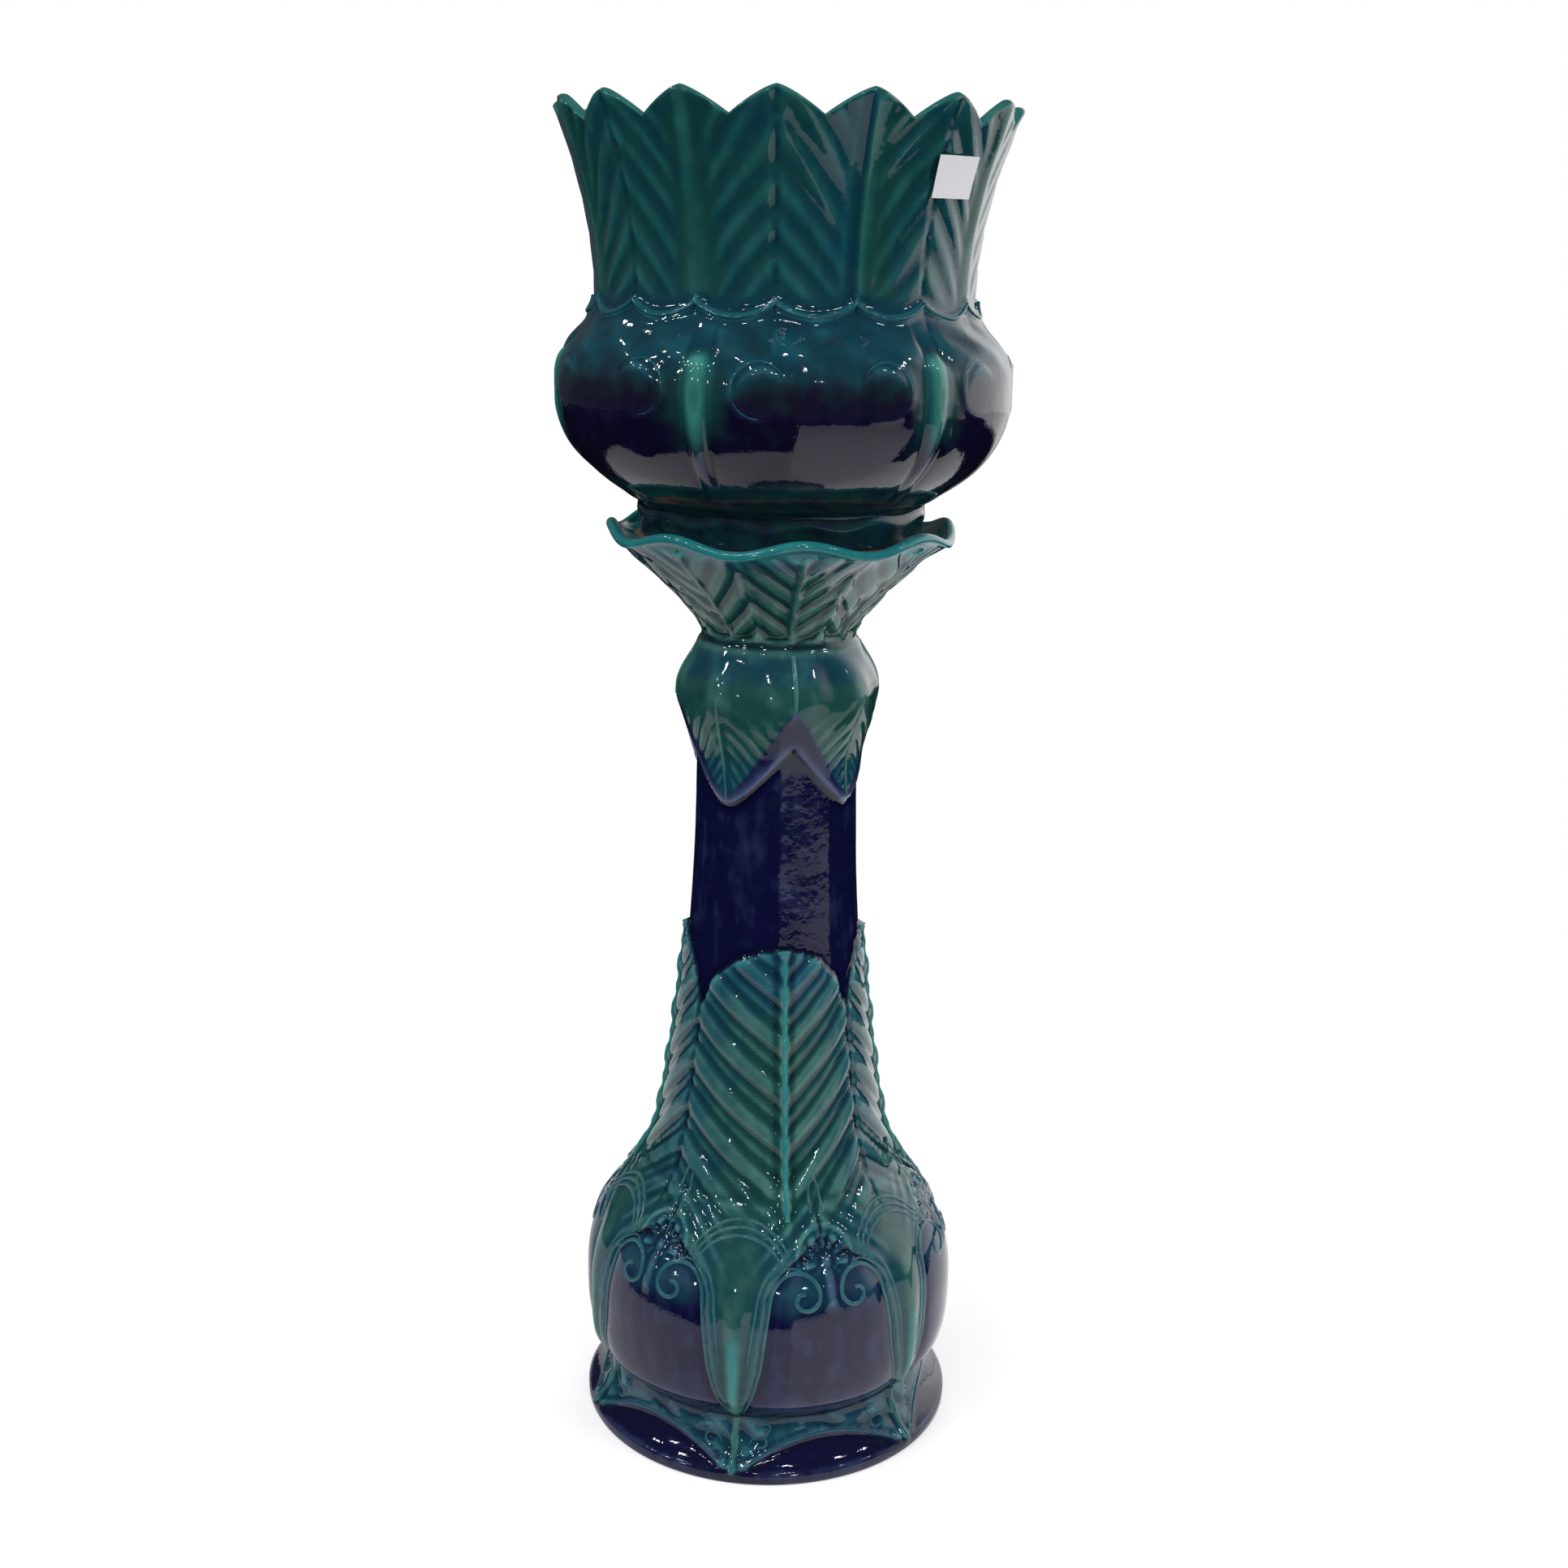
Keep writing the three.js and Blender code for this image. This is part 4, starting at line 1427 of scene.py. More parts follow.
    def knop_lines(self) -> list[Line]:
        """Draw a hanging leaf's midrib and the rib between two leaves.

        Returns:
            The lines of one repeat.
        """
        tip = self.knop_phase + self.half_leaf
        down = np.linspace(556.0, 482.0, 30)
        sway = 2.5 * np.sin(np.linspace(0, math.pi, len(down)))
        made = [Line(tip - sway, down, taper(len(down), 1.6, 1.2, 0.9), tint=0.3, lip=0.15)]
        top = np.linspace(585.0, 549.0, 16)
        between = np.full(len(top), self.knop_phase)
        made.append(Line(between, top, taper(len(top), 1.8, 1.5, 1.2), tint=0.1, lip=0.4))
        return made

    def build(self, relief: bpy.types.NodeTree, lines: bpy.types.NodeTree) -> list[bpy.types.Object]:
        """Build the pedestal's casting and its raised lines.

        Args:
            relief: The tree that lifts the ornament.
            lines: The tree that makes raised lines.

        Returns:
            The casting, then its lines.
        """
        glaze = PEDESTAL_GLAZE.material()
        motifs = (
            self.foot_leaves,
            self.bulb_bosses,
            self.trunk_leaves,
            self.knop_leaves,
            self.trumpet_leaves,
        )
        casting = Casting(
            "pedestal_casting",
            self.rows(),
            self.seat - self.seat_thickness,
            self.seat,
            motifs,
            widest=self.foot_radius + 1.5,
        )
        made = [casting.build(relief, glaze)]
        for name, (repeats, drawn) in self.lines().items():
            made.append(casting.lay(name, drawn, self.outline, lines, glaze, repeats))
        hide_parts(PEDESTAL_NODE)
        for piece in made:
            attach(piece, Body.PEDESTAL.value)
        return made


# ---- the jardiniere -------------------------------------------------------------------------


@dataclass
class Jardiniere:
    """The jardiniere: a lobed belly on a ring foot and a spreading collar of pointed leaves.

    Heights are above the floor that the pedestal stands on, with the jardiniere at rest on it.
    """

    floor_gap: float = 660.2
    foot_radius: float = 97.0
    foot_flare: float = 1.5
    foot_width: float = 10.0
    foot_recess: float = 3.0
    foot_top: float = 684.2
    belly: float = 760.2
    belly_radius: float = 152.0
    belly_shoulder: float = 795.2
    belly_shoulder_radius: float = 139.0
    waist: float = 817.2
    waist_radius: float = 127.0
    collar: float = 939.2
    collar_radius: float = 154.0
    rim_edge: float = 4.0
    wall: float = 8.0
    floor: float = 11.0
    leaves: int = 8
    tips: int = 16
    phase: float = -2.6
    notch: float = 16.0
    notch_span: float = 60.0
    collar_rib_depth: float = 1.05
    collar_rib_pitch: float = 24.0
    lobes: int = 6
    lobe_phase: float = 9.4
    lobe_depth: float = 4.2
    stem_depth: float = 4.2
    stem_top: float = 776.0
    scroll: float = 766.0
    scroll_offset: float = 15.0
    scroll_radius: float = 17.0
    inner_ring: float = 40.0
    columns: int = 480
    spacing: float = 2.3

    def __post_init__(self) -> None:
        """Work out the outline and the places between lobes and between leaves."""
        self.stem_phase = self.lobe_phase + 180.0 / self.lobes
        self.half_leaf = 180.0 / self.leaves
        self.outline = Outline(
            (
                Ring(self.floor_gap, self.foot_radius),
                Ring(self.foot_top, self.foot_radius + self.foot_flare, above=1.75),
                Ring(self.belly, self.belly_radius),
                Ring(self.belly_shoulder, self.belly_shoulder_radius, below=-0.95, above=-0.95),
                Ring(self.waist, self.waist_radius),
                Ring(self.collar, self.collar_radius, below=0.42),
            )
        )

    # -- ornament --

    def dip(self, azimuth: np.ndarray) -> np.ndarray:
        """Return how far the collar's edge lies under its tips."""
        offset = np.abs(nearest(azimuth, self.tips, self.phase)) / (180.0 / self.tips)
        return self.notch * offset**1.3

    def collar_leaves(self, skin: Skin) -> None:
        """Model eight upright leaves round the collar, with steep ribs that meet their neighbours'.

        Every other leaf has a soft raised midrib. The ones between are folded: one half stands
        a little proud of the other, in greener glaze.

        Args:
            skin: The points to work on.
        """
        inside = smooth(skin.z, self.waist - 4, self.waist + 6)
        offset = nearest(skin.azimuth, self.leaves, self.phase + self.half_leaf)
        side = arc(offset, skin.radius)
        across = np.abs(side)
        from_soft = nearest(skin.azimuth, self.leaves // 2, self.phase - self.half_leaf)
        soft = 1 - smooth(np.abs(from_soft), 21, 24)
        height = (skin.z - self.waist) / (self.collar - self.waist)
        rise = (skin.z - 4.2 * across**0.72) / self.collar_rib_pitch
        uneven = 0.10 * np.sin(np.radians(skin.azimuth) * 5.0 + skin.z / 17.0)
        rib = plateau(rise + uneven, 0.46, 0.22)
        skin.relief += inside * self.collar_rib_depth * (rib - 0.5) * smooth(across, 5, 22)
        midrib = np.interp(height, [0, 1], [13.0, 8.0])
        skin.relief += inside * soft * 2.0 * bead(across, midrib) * (1 - 0.7 * smooth(height, 0.8, 1.0))
        fold = smooth(side, -0.8, 0.8) * (1 - smooth(side, 2, 17))
        skin.relief += inside * (1 - soft) * (1.6 * fold - 0.9 * bead(side + 4.0, 6.0))
        border = arc(self.half_leaf - np.abs(offset), skin.radius)
        skin.relief -= inside * 0.7 * bead(border, 4.0) * (1.0 + 0.25 * np.cos(skin.z * math.tau / 9.0))
        tip = arc(nearest(skin.azimuth, self.tips, self.phase), skin.radius)
        skin.relief += inside * 0.9 * bead(tip, 14.0) * smooth(height, 0.6, 0.95)
        skin.paint("leaf", 1.0, smooth(skin.z, self.waist - 8, self.waist + 3))
        skin.paint("tint", 0.5, inside)
        skin.paint("tint", 0.3, inside * bead(across, 22.0) * soft)
        skin.paint("tint", 0.25, inside * (1 - soft) * smooth(side, -1, 1) * (1 - smooth(side, 8, 34)))
        skin.paint("tint", 0.75, inside * (1 - soft) * smooth(-side, -1, 1) * (1 - smooth(-side, 8, 34)))
        edge = self.collar - self.dip(skin.azimuth)
        skin.paint("lip", 0.35, smooth(skin.z, edge - 3, edge))

    def waist_scallops(self, skin: Skin) -> None:
        """Model the scalloped edge where the collar's leaves stand on the belly's shoulder.

        Args:
            skin: The points to work on.
        """
        line = self.scallop(skin.azimuth)
        skin.relief += 2.8 * bead(skin.z - line, 4.4)
        skin.relief += 1.0 * (1 - smooth(skin.z, line - 5, line - 1)) * smooth(skin.z, line - 16, line - 4)
        skin.paint("tint", 0.9, bead(skin.z - line, 14.0))

    def scallop(self, azimuth: np.ndarray) -> np.ndarray:
        """Return the height of the scalloped edge: cusps up under the collar's tips."""
        sag = np.abs(np.sin(np.radians(azimuth - self.phase) * self.tips / 2.0))
        return self.waist - 9.0 * sag**0.8

    def belly_lobes(self, skin: Skin) -> None:
        """Model the belly's lobes, the stems between them and the scrolled shoulders of each lobe.

        Args:
            skin: The points to work on.
        """
        from_lobe = nearest(skin.azimuth, self.lobes, self.lobe_phase)
        stem = arc(nearest(skin.azimuth, self.lobes, self.stem_phase), skin.radius)
        low = self.foot_top + 8
        body = band(skin.z, low - 8, self.waist - 4, 26)
        skin.relief += body * (self.lobe_depth * dome(from_lobe / 27.0) - 1.2)
        width = np.interp(skin.z, [696, 730, 765, 790], [7.0, 11.0, 14.0, 15.0])
        top = 1 - smooth(np.hypot(stem, np.maximum(skin.z - self.stem_top, 0)), 8, 15)
        stem_part = bead(stem, width) * smooth(skin.z, low - 4, low + 34) * (1 - smooth(skin.z, 780, 795))
        skin.relief += self.stem_depth * stem_part * np.where(skin.z > self.stem_top, top, 1.0)
        beside, above = np.abs(stem) - arc(self.scroll_offset, 150.0), skin.z - self.scroll
        swirl = np.hypot(beside, above)
        turn = np.arctan2(above, beside)
        skin.relief += 2.8 * bead(swirl, 24.0) * band(skin.z, 738, self.waist, 14)
        spiral = np.cos(turn + swirl / 2.1)
        skin.relief += 0.65 * spiral * band(swirl, 1, 21, 5) * band(skin.z, 738, self.waist, 14)
        crossed = np.sin(np.radians(skin.azimuth) * 24.0 + skin.z / 5.0)
        crossed += np.sin(skin.azimuth / 5.3 - skin.z / 8.0)
        skin.relief += 0.55 * crossed * band(skin.z, 772, 812, 14)
        self.belly_glaze(skin, stem, width)

    def belly_glaze(self, skin: Skin, stem: np.ndarray, width: np.ndarray) -> None:
        """Paint the belly: blue-green shoulders, pale stems, dark lobes and a green underside.

        Args:
            skin: The points to work on.
            stem: Lengths round the axis from the middle of the nearest stem.
            width: Half-widths of the stem.
        """
        upper = smooth(skin.z, 744, 790)
        skin.paint("leaf", 0.7, upper)
        skin.paint("tint", 0.8, upper)
        skin.paint("leaf", 0.8, bead(stem, 32.0) * smooth(skin.z, 712, 752))
        skin.paint("tint", 0.5, bead(stem, 30.0) * (1 - upper))
        skin.paint("leaf", 0.42, 1 - smooth(skin.z, 700, 712))
        pale = smooth(skin.z, 712, 758) * (1 - smooth(skin.z, 784, 794))
        skin.paint("lip", 0.8, bead(stem, width * 1.2) * pale)

    def foot_ring(self, skin: Skin) -> None:
        """Model the shallow swell round the top of the ring foot.

        Args:
            skin: The points to work on.
        """
        sag = np.cos(np.radians(skin.azimuth - self.lobe_phase) * 12.0)
        skin.relief += 0.9 * bead(skin.z - 677.0 - 2.0 * sag, 5.0)
        skin.relief += 0.8 * bead(skin.z - self.foot_top - 3.0, 4.0)

    # -- making --

    def dropped(self, row: Row) -> Row:
        """Return a row moved down by the collar's notches, following the outline inwards.

        Args:
            row: A row of points.

        Returns:
            The moved row.
        """
        drop = self.dip(row.azimuth) * smooth(row.z, self.collar - self.notch_span, self.collar)
        z = row.z - drop
        radius = row.radius + self.outline.radius(z) - self.outline.radius(row.z)
        return Row(row.azimuth, z, radius, row.outside, row.lip, row.bare)

    def rows(self) -> list[Row]:
        """Return the casting's rows, from under the foot up the outside and down the inside.

        Returns:
            The rows, in order along the wall.
        """
        fine = columns(self.columns, self.phase)
        middle = columns(self.columns // 2, self.phase)
        coarse = columns(self.columns // 4, self.phase)
        recess = self.foot_radius - self.foot_width
        base = self.floor_gap
        made = [
            plain_row(coarse, base + self.foot_recess, 30.0, bare=1.0),
            plain_row(coarse, base + self.foot_recess, recess - 3.0, bare=1.0),
            plain_row(middle, base, recess, bare=1.0),
            plain_row(fine, base, self.foot_radius - 1.6, bare=1.0),
            plain_row(fine, base + 0.5, self.foot_radius - 0.4),
        ]
        outside = self.outline.levels(base + 1.8, self.collar, self.spacing)
        made += turned_rows(self.outline, outside, fine, 1.0)
        made += self.rim_rows(fine)
        top_inside = self.collar - 2.2
        floor_z = base + self.floor
        inner = self.outline.levels(floor_z + 8.0, top_inside, 7.0)[::-1]
        for place, row in enumerate(turned_rows(self.outline, inner, middle, 0.0, self.wall)):
            row.lip = 0.9
            if place == 0:
                row.azimuth, row.z = fine, np.full(len(fine), row.z[0])
                row.radius = np.full(len(fine), row.radius[0])
            made.append(row)
        made = [self.dropped(row) for row in made]
        edge = float(self.outline.radius(np.array(floor_z))) - self.wall
        made += [
            plain_row(middle, floor_z + 2.4, edge - 1.0, lip=0.9),
            plain_row(middle, floor_z, edge - 5.0, lip=0.9),
            plain_row(coarse, floor_z, self.inner_ring, lip=0.9),
        ]
        return made

    def rim_rows(self, azimuth: np.ndarray) -> list[Row]:
        """Return the rows over the collar's rounded edge, from outside to inside.

        Args:
            azimuth: Azimuths of each row's points, in degrees.

        Returns:
            The rows.
        """
        made = []
        half = self.wall / 2.0
        for angle in np.radians([28.0, 60.0, 90.0, 122.0, 154.0]):
            radius = self.collar_radius - half + half * math.cos(angle)
            z = self.collar + self.rim_edge / 2.0 * math.sin(angle)
            made.append(plain_row(azimuth, z, radius, lip=1.0))
        return made

    def lines(self) -> dict[str, tuple[int, list[Line]]]:
        """Return the raised lines by piece, each with how often it repeats round the axis.

        Returns:
            The number of repeats and the lines of one, for each piece's name.
        """
        return {
            "jardiniere_belly_scrolls": (self.lobes, self.scrolls()),
            "jardiniere_waist_edge": (self.tips, self.waist_lines()),
        }

    def scrolls(self) -> list[Line]:
        """Draw the fine line that follows the scroll on either shoulder of a lobe.

        Returns:
            The lines of one repeat.
        """
        turn = np.linspace(-0.8 * math.pi, 0.5 * math.pi, 40)
        beside = self.scroll_offset - np.degrees(self.scroll_radius * np.cos(turn) / 150.0)
        z = self.scroll - self.scroll_radius * np.sin(turn)
        width = taper(len(turn), 1.1, 0.4, 0.4)
        return [
            Line(self.stem_phase + side * beside, z, width, leaf=0.8, tint=0.9, sink=0.75)
            for side in (-1.0, 1.0)
        ]

    def waist_lines(self) -> list[Line]:
        """Draw one scallop of the edge between the collar and the belly's shoulder."""
        azimuth = self.phase + np.linspace(0.0, 360.0 / self.tips, 22)
        return [Line(azimuth, self.scallop(azimuth), np.full(22, 1.5), tint=0.7)]

    def build(self, relief: bpy.types.NodeTree, lines: bpy.types.NodeTree) -> list[bpy.types.Object]:
        """Build the jardiniere's casting and its raised lines.

        Args:
            relief: The tree that lifts the ornament.
            lines: The tree that makes raised lines.

        Returns:
            The casting, then its lines.
        """
        glaze = BOWL_GLAZE.material()
        motifs = (self.foot_ring, self.belly_lobes, self.collar_leaves, self.waist_scallops)
        casting = Casting(
            "jardiniere_casting",
            self.rows(),
            self.floor_gap + self.foot_recess,
            self.floor_gap + self.floor,
            motifs,
            widest=self.collar_radius + 0.3,
        )
        made = [casting.build(relief, glaze)]
        for name, (repeats, drawn) in self.lines().items():
            made.append(casting.lay(name, drawn, self.outline, lines, glaze, repeats))
        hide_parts(BOWL_NODE)
        for piece in made:
            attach(piece, Body.JARDINIERE.value)
        return made


@dataclass
class PriceLabel:
    """A blank paper label stuck on the collar, bent to its curve and set a little askew."""

    width: float = 37.0
    height: float = 25.0
    thickness: float = 0.3
    azimuth: float = 47.5
    z: float = 893.0
    tilt: float = 0.5
    stand_off: float = 3.2
    columns: int = 14
    rows: int = 12

    def build(self, outline: Outline) -> bpy.types.Object:
        """Build the label over the collar's outline.

        Args:
            outline: The jardiniere's plain outline.

        Returns:
            The label as a thin closed sheet.
        """
        across = np.linspace(-self.width / 2, self.width / 2, self.columns)
        up = np.linspace(-self.height / 2, self.height / 2, self.rows)
        x, y = np.meshgrid(across, up)
        turn = math.radians(self.tilt)
        flat_x = x * math.cos(turn) - y * math.sin(turn)
        z = self.z + x * math.sin(turn) + y * math.cos(turn)
        base = outline.radius(z)
        azimuth = self.azimuth + np.degrees(flat_x / outline.radius(np.array(self.z)))
        sheets = [
            on_axis(azimuth, base + self.stand_off + lift, z).reshape(-1, 3)
            for lift in (0.0, self.thickness)
        ]
        count = self.columns * self.rows
        faces: list[tuple[int, ...]] = []
        for row in range(self.rows - 1):
            for column in range(self.columns - 1):
                low = row * self.columns + column
                high = low + self.columns
                faces.append((low, high, high + 1, low + 1))
                faces.append((count + low, count + low + 1, count + high + 1, count + high))
        border = (
            list(range(self.columns))
            + [row * self.columns + self.columns - 1 for row in range(1, self.rows)]
            + [(self.rows - 1) * self.columns + column for column in range(self.columns - 2, -1, -1)]
            + [row * self.columns for row in range(self.rows - 2, 0, -1)]
        )
        for here, there in zip(border, border[1:] + border[:1]):
            faces.append((here, there, count + there, count + here))
        made = mesh_object("blank_paper_label", np.vstack(sheets), faces)
        made.data.materials.append(LabelPaper().material())
        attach(made, Body.JARDINIERE.value)
        return made


# ---- floor, light and camera ------------------------------------------------------------------


@dataclass
class SoftLight:
    """A rectangular lamp: its place, its size in metres, its watts, and whether the glaze mirrors it."""

    name: str
    place: tuple[float, float, float]
    size: tuple[float, float]
    power: float
    glints: bool = True
    aim: tuple[float, float, float] = (0.0, 0.0, 0.5)

    def build(self) -> None:
        """Hang the lamp and point it at its aim."""
        data = bpy.data.lights.new(self.name, "AREA")
        data.shape = "RECTANGLE"
        data.size, data.size_y = self.size
        data.energy = self.power
        lamp = bpy.data.objects.new(self.name, data)
        lamp.location = self.place
        lamp.visible_glossy = self.glints
        towards = Vector(self.aim) - Vector(self.place)
        lamp.rotation_euler = towards.to_track_quat("-Z", "Y").to_euler()
        bpy.context.scene.collection.objects.link(lamp)


@dataclass
class Studio:
    """A pale floor, a pale backdrop, soft light and the camera where the photograph was taken.

    The glaze mirrors what stands round it, so what it sees differs from what the camera sees:
    a pale floor near the foot and along a path to the front right, a dim floor beyond, and a
    window to the right and behind. Lengths are in metres, and a pair of them is where a
    change starts and ends.
    """

    floor_half_width: float = 6.0
    floor_colour: str = "#d0d0d4"
    far_floor_colour: str = "#0c0d10"
    floor_lift: float = 0.5
    floor_fade: tuple[float, float] = (0.5, 2.2)
    floor_shine: float = 0.15
    fill: float = 0.42
    window: float = 124.0
    window_widths: tuple[float, float] = (20.0, 55.0)
    window_floor_widths: tuple[float, float] = (25.0, 55.0)
    window_floor_reach: tuple[float, float] = (2.6, 3.2)
    window_rise: tuple[float, float] = (0.35, 0.7)
    window_shine: float = 1.5
    room_shine: float = 0.06
    pale_reach: tuple[float, float] = (0.62, 1.1)
    pale_turn: tuple[float, float] = (-0.1, 0.3)
    pale_edge: float = 0.08
    path_azimuth: float = 43.0
    path_widths: tuple[float, float] = (36.0, 38.0)
    path_reach: float = 1.86
    path_shine: float = 0.45
    camera_distance: float = 1.337
    camera_height: float = 0.839
    pitch_down: float = 15.0
    roll: float = 1.0
    lens_mm: float = 44.42
    sensor_mm: float = 36.0
    shift: float = 0.0049

    def build(self) -> None:
        """Set the floor, the world, the lamps and the camera."""
        self.floor()
        self.world()
        for lamp in self.lamps():
            lamp.build()
        self.camera()

    def lamps(self) -> list[SoftLight]:
        """Return the lamps: soft boxes that light the form, and small ones that glint in the glaze.

        Returns:
            The lamps, not yet hung.
        """
        soft = [
            SoftLight("left soft box", (-1.6, -1.5, 2.3), (1.2, 1.2), 22.0, glints=False),
            SoftLight("right soft box", (2.0, -1.2, 1.4), (0.8, 1.6), 22.0, glints=False),
            SoftLight("back soft box", (0.4, 1.8, 2.4), (1.2, 0.8), 16.0, glints=False),
        ]
        spots = [
            (-0.95, -1.0, 2.5),
            (-0.65, -1.6, 2.2),
            (-0.2, -1.45, 2.7),
            (0.45, -1.2, 2.6),
            (0.3, -1.9, 1.9),
            (-1.5, -0.5, 2.2),
            (1.5, -0.8, 2.3),
            (-1.7, 0.3, 2.1),
            (1.9, -0.45, 2.0),
            (-2.0, -0.9, 1.7),
            (-1.9, -1.3, 2.2),
            (-2.2, -0.3, 2.0),
            (-1.5, 0.8, 2.3),
            (0.75, -2.4, 1.35),
            (-0.9, -2.4, 1.25),
            (-2.0, -1.6, 1.3),
        ]
        sizes = ((0.16, 0.07), (0.07, 0.07), (0.11, 0.14))
        power = 1.8
        small = [
            SoftLight(f"small spot {number}", place, sizes[number % len(sizes)], power)
            for number, place in enumerate(spots)
        ]
        return soft + small

    def floor(self) -> None:
        """Lay the plain pale floor, which reads as white and keeps the object's shadow."""
        half = self.floor_half_width
        corners = np.array([[-half, -half, 0.0], [half, -half, 0.0], [half, half, 0.0], [-half, half, 0.0]])
        made = mesh_object("floor", corners, [(0, 1, 2, 3)])
        material = bpy.data.materials.new("matt pale floor")
        material.use_nodes = True
        tree = material.node_tree
        tree.nodes.clear()
        path = add_node(tree, "ShaderNodeLightPath").outputs
        place = add_node(tree, "ShaderNodeTexCoord").outputs["Object"]
        away = add_node(tree, "ShaderNodeVectorMath", {0: place}, operation="LENGTH").outputs["Value"]
        near, far = self.floor_fade
        lift, lit = (
            add_node(
                tree,
                "ShaderNodeMapRange",
                {"Value": away, "From Min": near, "From Max": far, "To Min": low, "To Max": high},
                interpolation_type="SMOOTHSTEP",
            ).outputs["Result"]
            for low, high in ((self.floor_lift, 1.0), (1.0, 0.0))
        )
        colour = add_node(
            tree, "ShaderNodeVectorMath", {0: linear(self.floor_colour)[:3], "Scale": lit}, operation="SCALE"
        ).outputs["Vector"]
        beside = self.facing(tree, place, self.window, self.window_floor_widths)
        seen = self.floor_glow(tree, place, beside, path)
        glow = add_node(tree, "ShaderNodeMath", {0: seen, 1: lift}, operation="MULTIPLY").outputs[0]
        pale = add_node(
            tree,
            "ShaderNodeBsdfPrincipled",
            {
                "Base Color": colour,
                "Roughness": 0.9,
                "Specular IOR Level": 0.0,
                "Emission Color": (1.0, 1.0, 1.0, 1.0),
                "Emission Strength": glow,
            },
        ).outputs["BSDF"]
        dark = add_node(tree, "ShaderNodeBsdfDiffuse", {"Color": linear(self.far_floor_colour)}).outputs[0]
        dim = self.dim_floor(tree, place, away, beside)
        shown = add_node(
            tree, "ShaderNodeMath", {0: dim, 1: path["Is Glossy Ray"]}, operation="MULTIPLY"
        ).outputs[0]
        surface = add_node(tree, "ShaderNodeMixShader", {0: shown, 1: pale, 2: dark}).outputs[0]
        add_node(tree, "ShaderNodeOutputMaterial", {"Surface": surface})
        made.data.materials.append(material)

    def floor_glow(
        self,
        tree: bpy.types.NodeTree,
        place: bpy.types.NodeSocket,
        beside: bpy.types.NodeSocket,
        path: bpy.types.bpy_prop_collection,
    ) -> bpy.types.NodeSocket:
        """Return how much the floor glows: fully for the camera, and in parts for the glaze.

        Args:
            tree: The floor's node tree.
            place: A point of the floor.
            beside: 1 on the side of the window.
            path: The outputs of the Light Path node.

        Returns:
            The socket.
        """
        # Painted light: for reflected rays only, the floor glows on the window's side as if the window lit
        # it, and along a strip to the front right, so the glaze mirrors a pale reflection there.
        glowing_path = self.facing(tree, place, self.path_azimuth, self.path_widths)
        paler = add_node(
            tree, "ShaderNodeMath", {0: glowing_path, 1: self.path_shine}, operation="MULTIPLY"
        ).outputs[0]
        palest = add_node(tree, "ShaderNodeMath", {0: beside, 1: paler}, operation="MAXIMUM").outputs[0]
        shine = add_node(
            tree, "ShaderNodeMath", {0: palest, 1: self.floor_shine}, operation="ADD"
        ).outputs[0]
        return add_node(
            tree,
            "ShaderNodeMath",
            {0: shine, 1: path["Is Glossy Ray"], 2: path["Is Camera Ray"]},
            operation="MULTIPLY_ADD",
        ).outputs[0]

    def facing(
        self,
        tree: bpy.types.NodeTree,
        place: bpy.types.NodeSocket,
        azimuth: float,
        widths: tuple[float, float],
    ) -> bpy.types.NodeSocket:
        """Return 1 for places and directions that lie towards an azimuth, and 0 away from it.

        Args:
            tree: The node tree.
            place: A point of the floor, or a direction.
            azimuth: Degrees from the front towards the right.
            widths: Degrees from the azimuth at which the result is 1, and from which it is 0.

        Returns:
            The socket.
        """
        level = add_node(
            tree, "ShaderNodeVectorMath", {0: place, 1: (1.0, 1.0, 0.0)}, operation="MULTIPLY"
        ).outputs["Vector"]
        unit = add_node(tree, "ShaderNodeVectorMath", {0: level}, operation="NORMALIZE").outputs["Vector"]
        angle = math.radians(azimuth)
        towards = add_node(
            tree,
            "ShaderNodeVectorMath",
            {0: unit, 1: (math.sin(angle), -math.cos(angle), 0.0)},
            operation="DOT_PRODUCT",
        ).outputs["Value"]
        inner, outer = (math.cos(math.radians(width)) for width in widths)
        return add_node(
            tree,
            "ShaderNodeMapRange",
            {"Value": towards, "From Min": outer, "From Max": inner},
            interpolation_type="SMOOTHSTEP",
        ).outputs["Result"]

    def dim_floor(
        self,
        tree: bpy.types.NodeTree,
        place: bpy.types.NodeSocket,
        away: bpy.types.NodeSocket,
        beside: bpy.types.NodeSocket,
    ) -> bpy.types.NodeSocket:
        """Return 1 where the glaze mirrors the dim floor beyond the pale floor the object stands on.

        Args:
            tree: The floor's node tree.
            place: A point of the floor.
            away: Its distance from the object's axis.
            beside: 1 on the side of the window.

        Returns:
            The socket.
        """
        depth = add_node(tree, "ShaderNodeSeparateXYZ", {0: place}).outputs["Y"]
        turn, reaches = self.pale_turn, self.pale_reach
        near = add_node(
            tree,
            "ShaderNodeMapRange",
            {
                "Value": depth,
                "From Min": turn[0],
                "From Max": turn[1],
                "To Min": reaches[0],
                "To Max": reaches[1],
            },
            interpolation_type="SMOOTHSTEP",
        ).outputs["Result"]
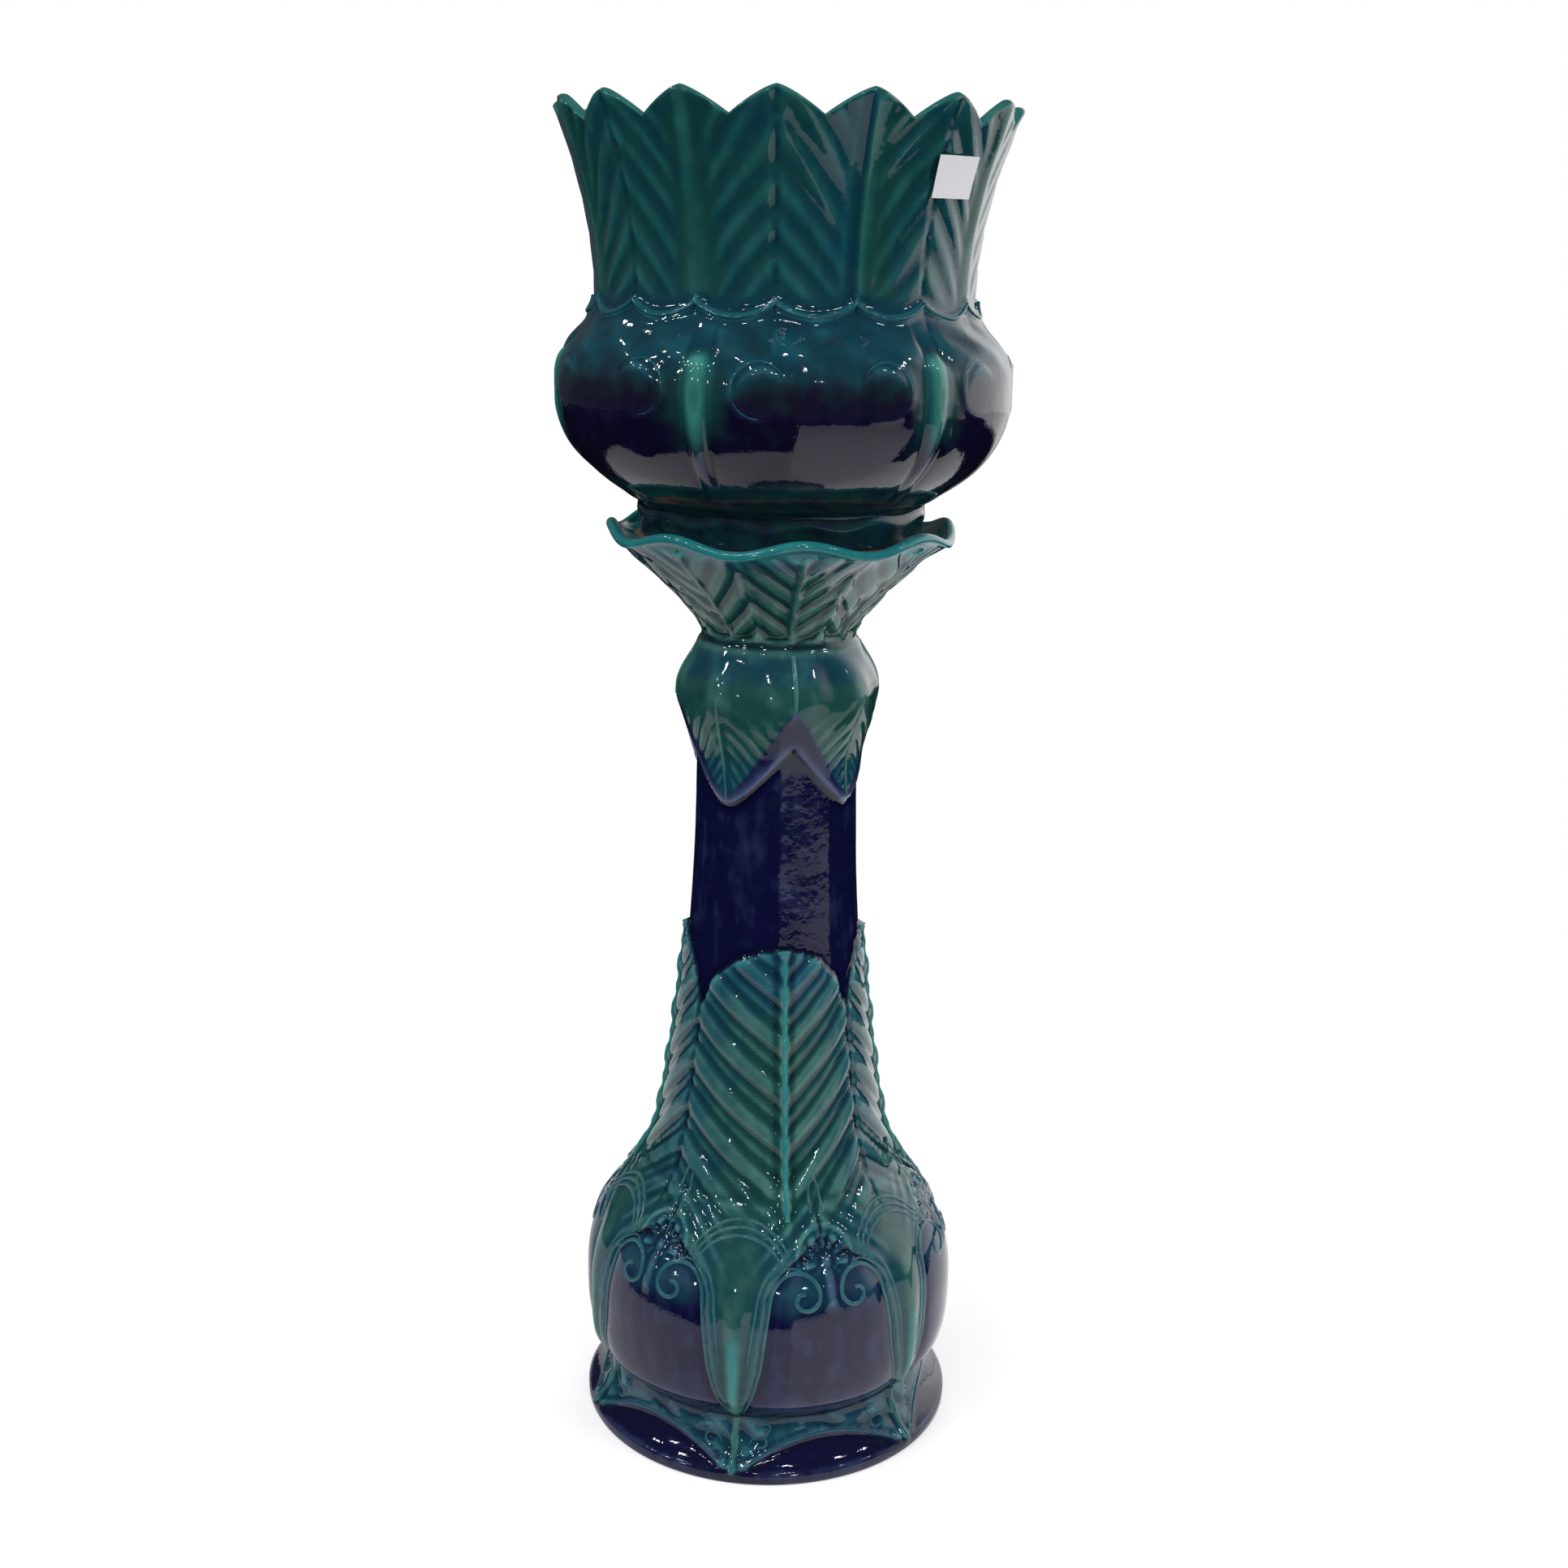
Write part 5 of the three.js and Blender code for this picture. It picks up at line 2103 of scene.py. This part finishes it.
        # Painted light: for reflected rays the floor stays pale farther out along the strip to the front
        # right, where it glows.
        glowing_path = self.facing(tree, place, self.path_azimuth, self.path_widths)
        reach = add_node(
            tree, "ShaderNodeMix", {0: glowing_path, 2: near, 3: self.path_reach}, data_type="FLOAT"
        ).outputs[0]
        beyond = add_node(tree, "ShaderNodeMath", {0: away, 1: reach}, operation="SUBTRACT").outputs[0]
        past, lit = (
            add_node(
                tree,
                "ShaderNodeMapRange",
                {"Value": value, "From Min": start, "From Max": end},
                interpolation_type="SMOOTHSTEP",
            ).outputs["Result"]
            for value, start, end in ((beyond, 0.0, self.pale_edge), (away, *self.window_floor_reach))
        )
        bright = add_node(tree, "ShaderNodeMath", {0: beside, 1: lit}, operation="MULTIPLY").outputs[0]
        unlit = add_node(tree, "ShaderNodeMath", {0: 1.0, 1: bright}, operation="SUBTRACT").outputs[0]
        return add_node(tree, "ShaderNodeMath", {0: past, 1: unlit}, operation="MULTIPLY").outputs[0]

    def world(self) -> None:
        """Make the world white behind the object, with a window to the right and a dim room elsewhere."""
        world = bpy.data.worlds.new("pale studio")
        bpy.context.scene.world = world
        world.use_nodes = True
        tree = world.node_tree
        tree.nodes.clear()
        path = add_node(tree, "ShaderNodeLightPath").outputs
        direction = add_node(tree, "ShaderNodeTexCoord").outputs["Generated"]
        height = add_node(tree, "ShaderNodeSeparateXYZ", {0: direction}).outputs["Z"]
        bottom, top = self.window_rise
        low = add_node(
            tree,
            "ShaderNodeMapRange",
            {"Value": height, "From Min": bottom, "From Max": top, "To Min": 1.0, "To Max": 0.0},
            interpolation_type="SMOOTHSTEP",
        ).outputs["Result"]
        side = self.facing(tree, direction, self.window, self.window_widths)
        window = add_node(tree, "ShaderNodeMath", {0: side, 1: low}, operation="MULTIPLY").outputs[0]
        mirrored = add_node(
            tree,
            "ShaderNodeMath",
            {0: window, 1: self.window_shine, 2: self.room_shine},
            operation="MULTIPLY_ADD",
        ).outputs[0]
        room = add_node(
            tree, "ShaderNodeMix", {0: path["Is Glossy Ray"], 2: self.fill, 3: mirrored}, data_type="FLOAT"
        ).outputs[0]
        strength = add_node(
            tree, "ShaderNodeMix", {0: path["Is Camera Ray"], 2: room, 3: 1.0}, data_type="FLOAT"
        ).outputs[0]
        shine = add_node(
            tree, "ShaderNodeBackground", {"Color": (1.0, 1.0, 1.0, 1.0), "Strength": strength}
        ).outputs["Background"]
        add_node(tree, "ShaderNodeOutputWorld", {"Surface": shine})

    def camera(self) -> None:
        """Put the camera where the photograph was taken from, with its own slight roll."""
        data = bpy.data.cameras.new("camera")
        data.lens = self.lens_mm
        data.sensor_width = self.sensor_mm
        data.shift_x = self.shift
        data.dof.use_dof = False
        made = bpy.data.objects.new("camera", data)
        turned = Matrix.Rotation(math.radians(90.0 - self.pitch_down), 4, "X") @ Matrix.Rotation(
            math.radians(self.roll), 4, "Z"
        )
        made.matrix_world = Matrix.Translation((0.0, -self.camera_distance, self.camera_height)) @ turned
        bpy.context.scene.collection.objects.link(made)
        bpy.context.scene.camera = made


def main() -> None:
    """Build both castings, the label and the studio, and write how big they came out."""
    logging.basicConfig(level=logging.INFO, format="%(name)s: %(message)s")
    bpy.context.scene.view_settings.view_transform = "Standard"
    relief, lines = relief_tree(), line_tree()
    jardiniere = Jardiniere()
    pieces = PedestalStand().build(relief, lines) + jardiniere.build(relief, lines)
    pieces.append(PriceLabel().build(jardiniere.outline))
    for piece in pieces:
        faces = sum(len(face.vertices) - 2 for face in piece.data.polygons)
        log.info("%s has %d triangles", piece.name, faces)
    Studio().build()
    bpy.context.view_layer.update()


if __name__ == "__main__":
    main()
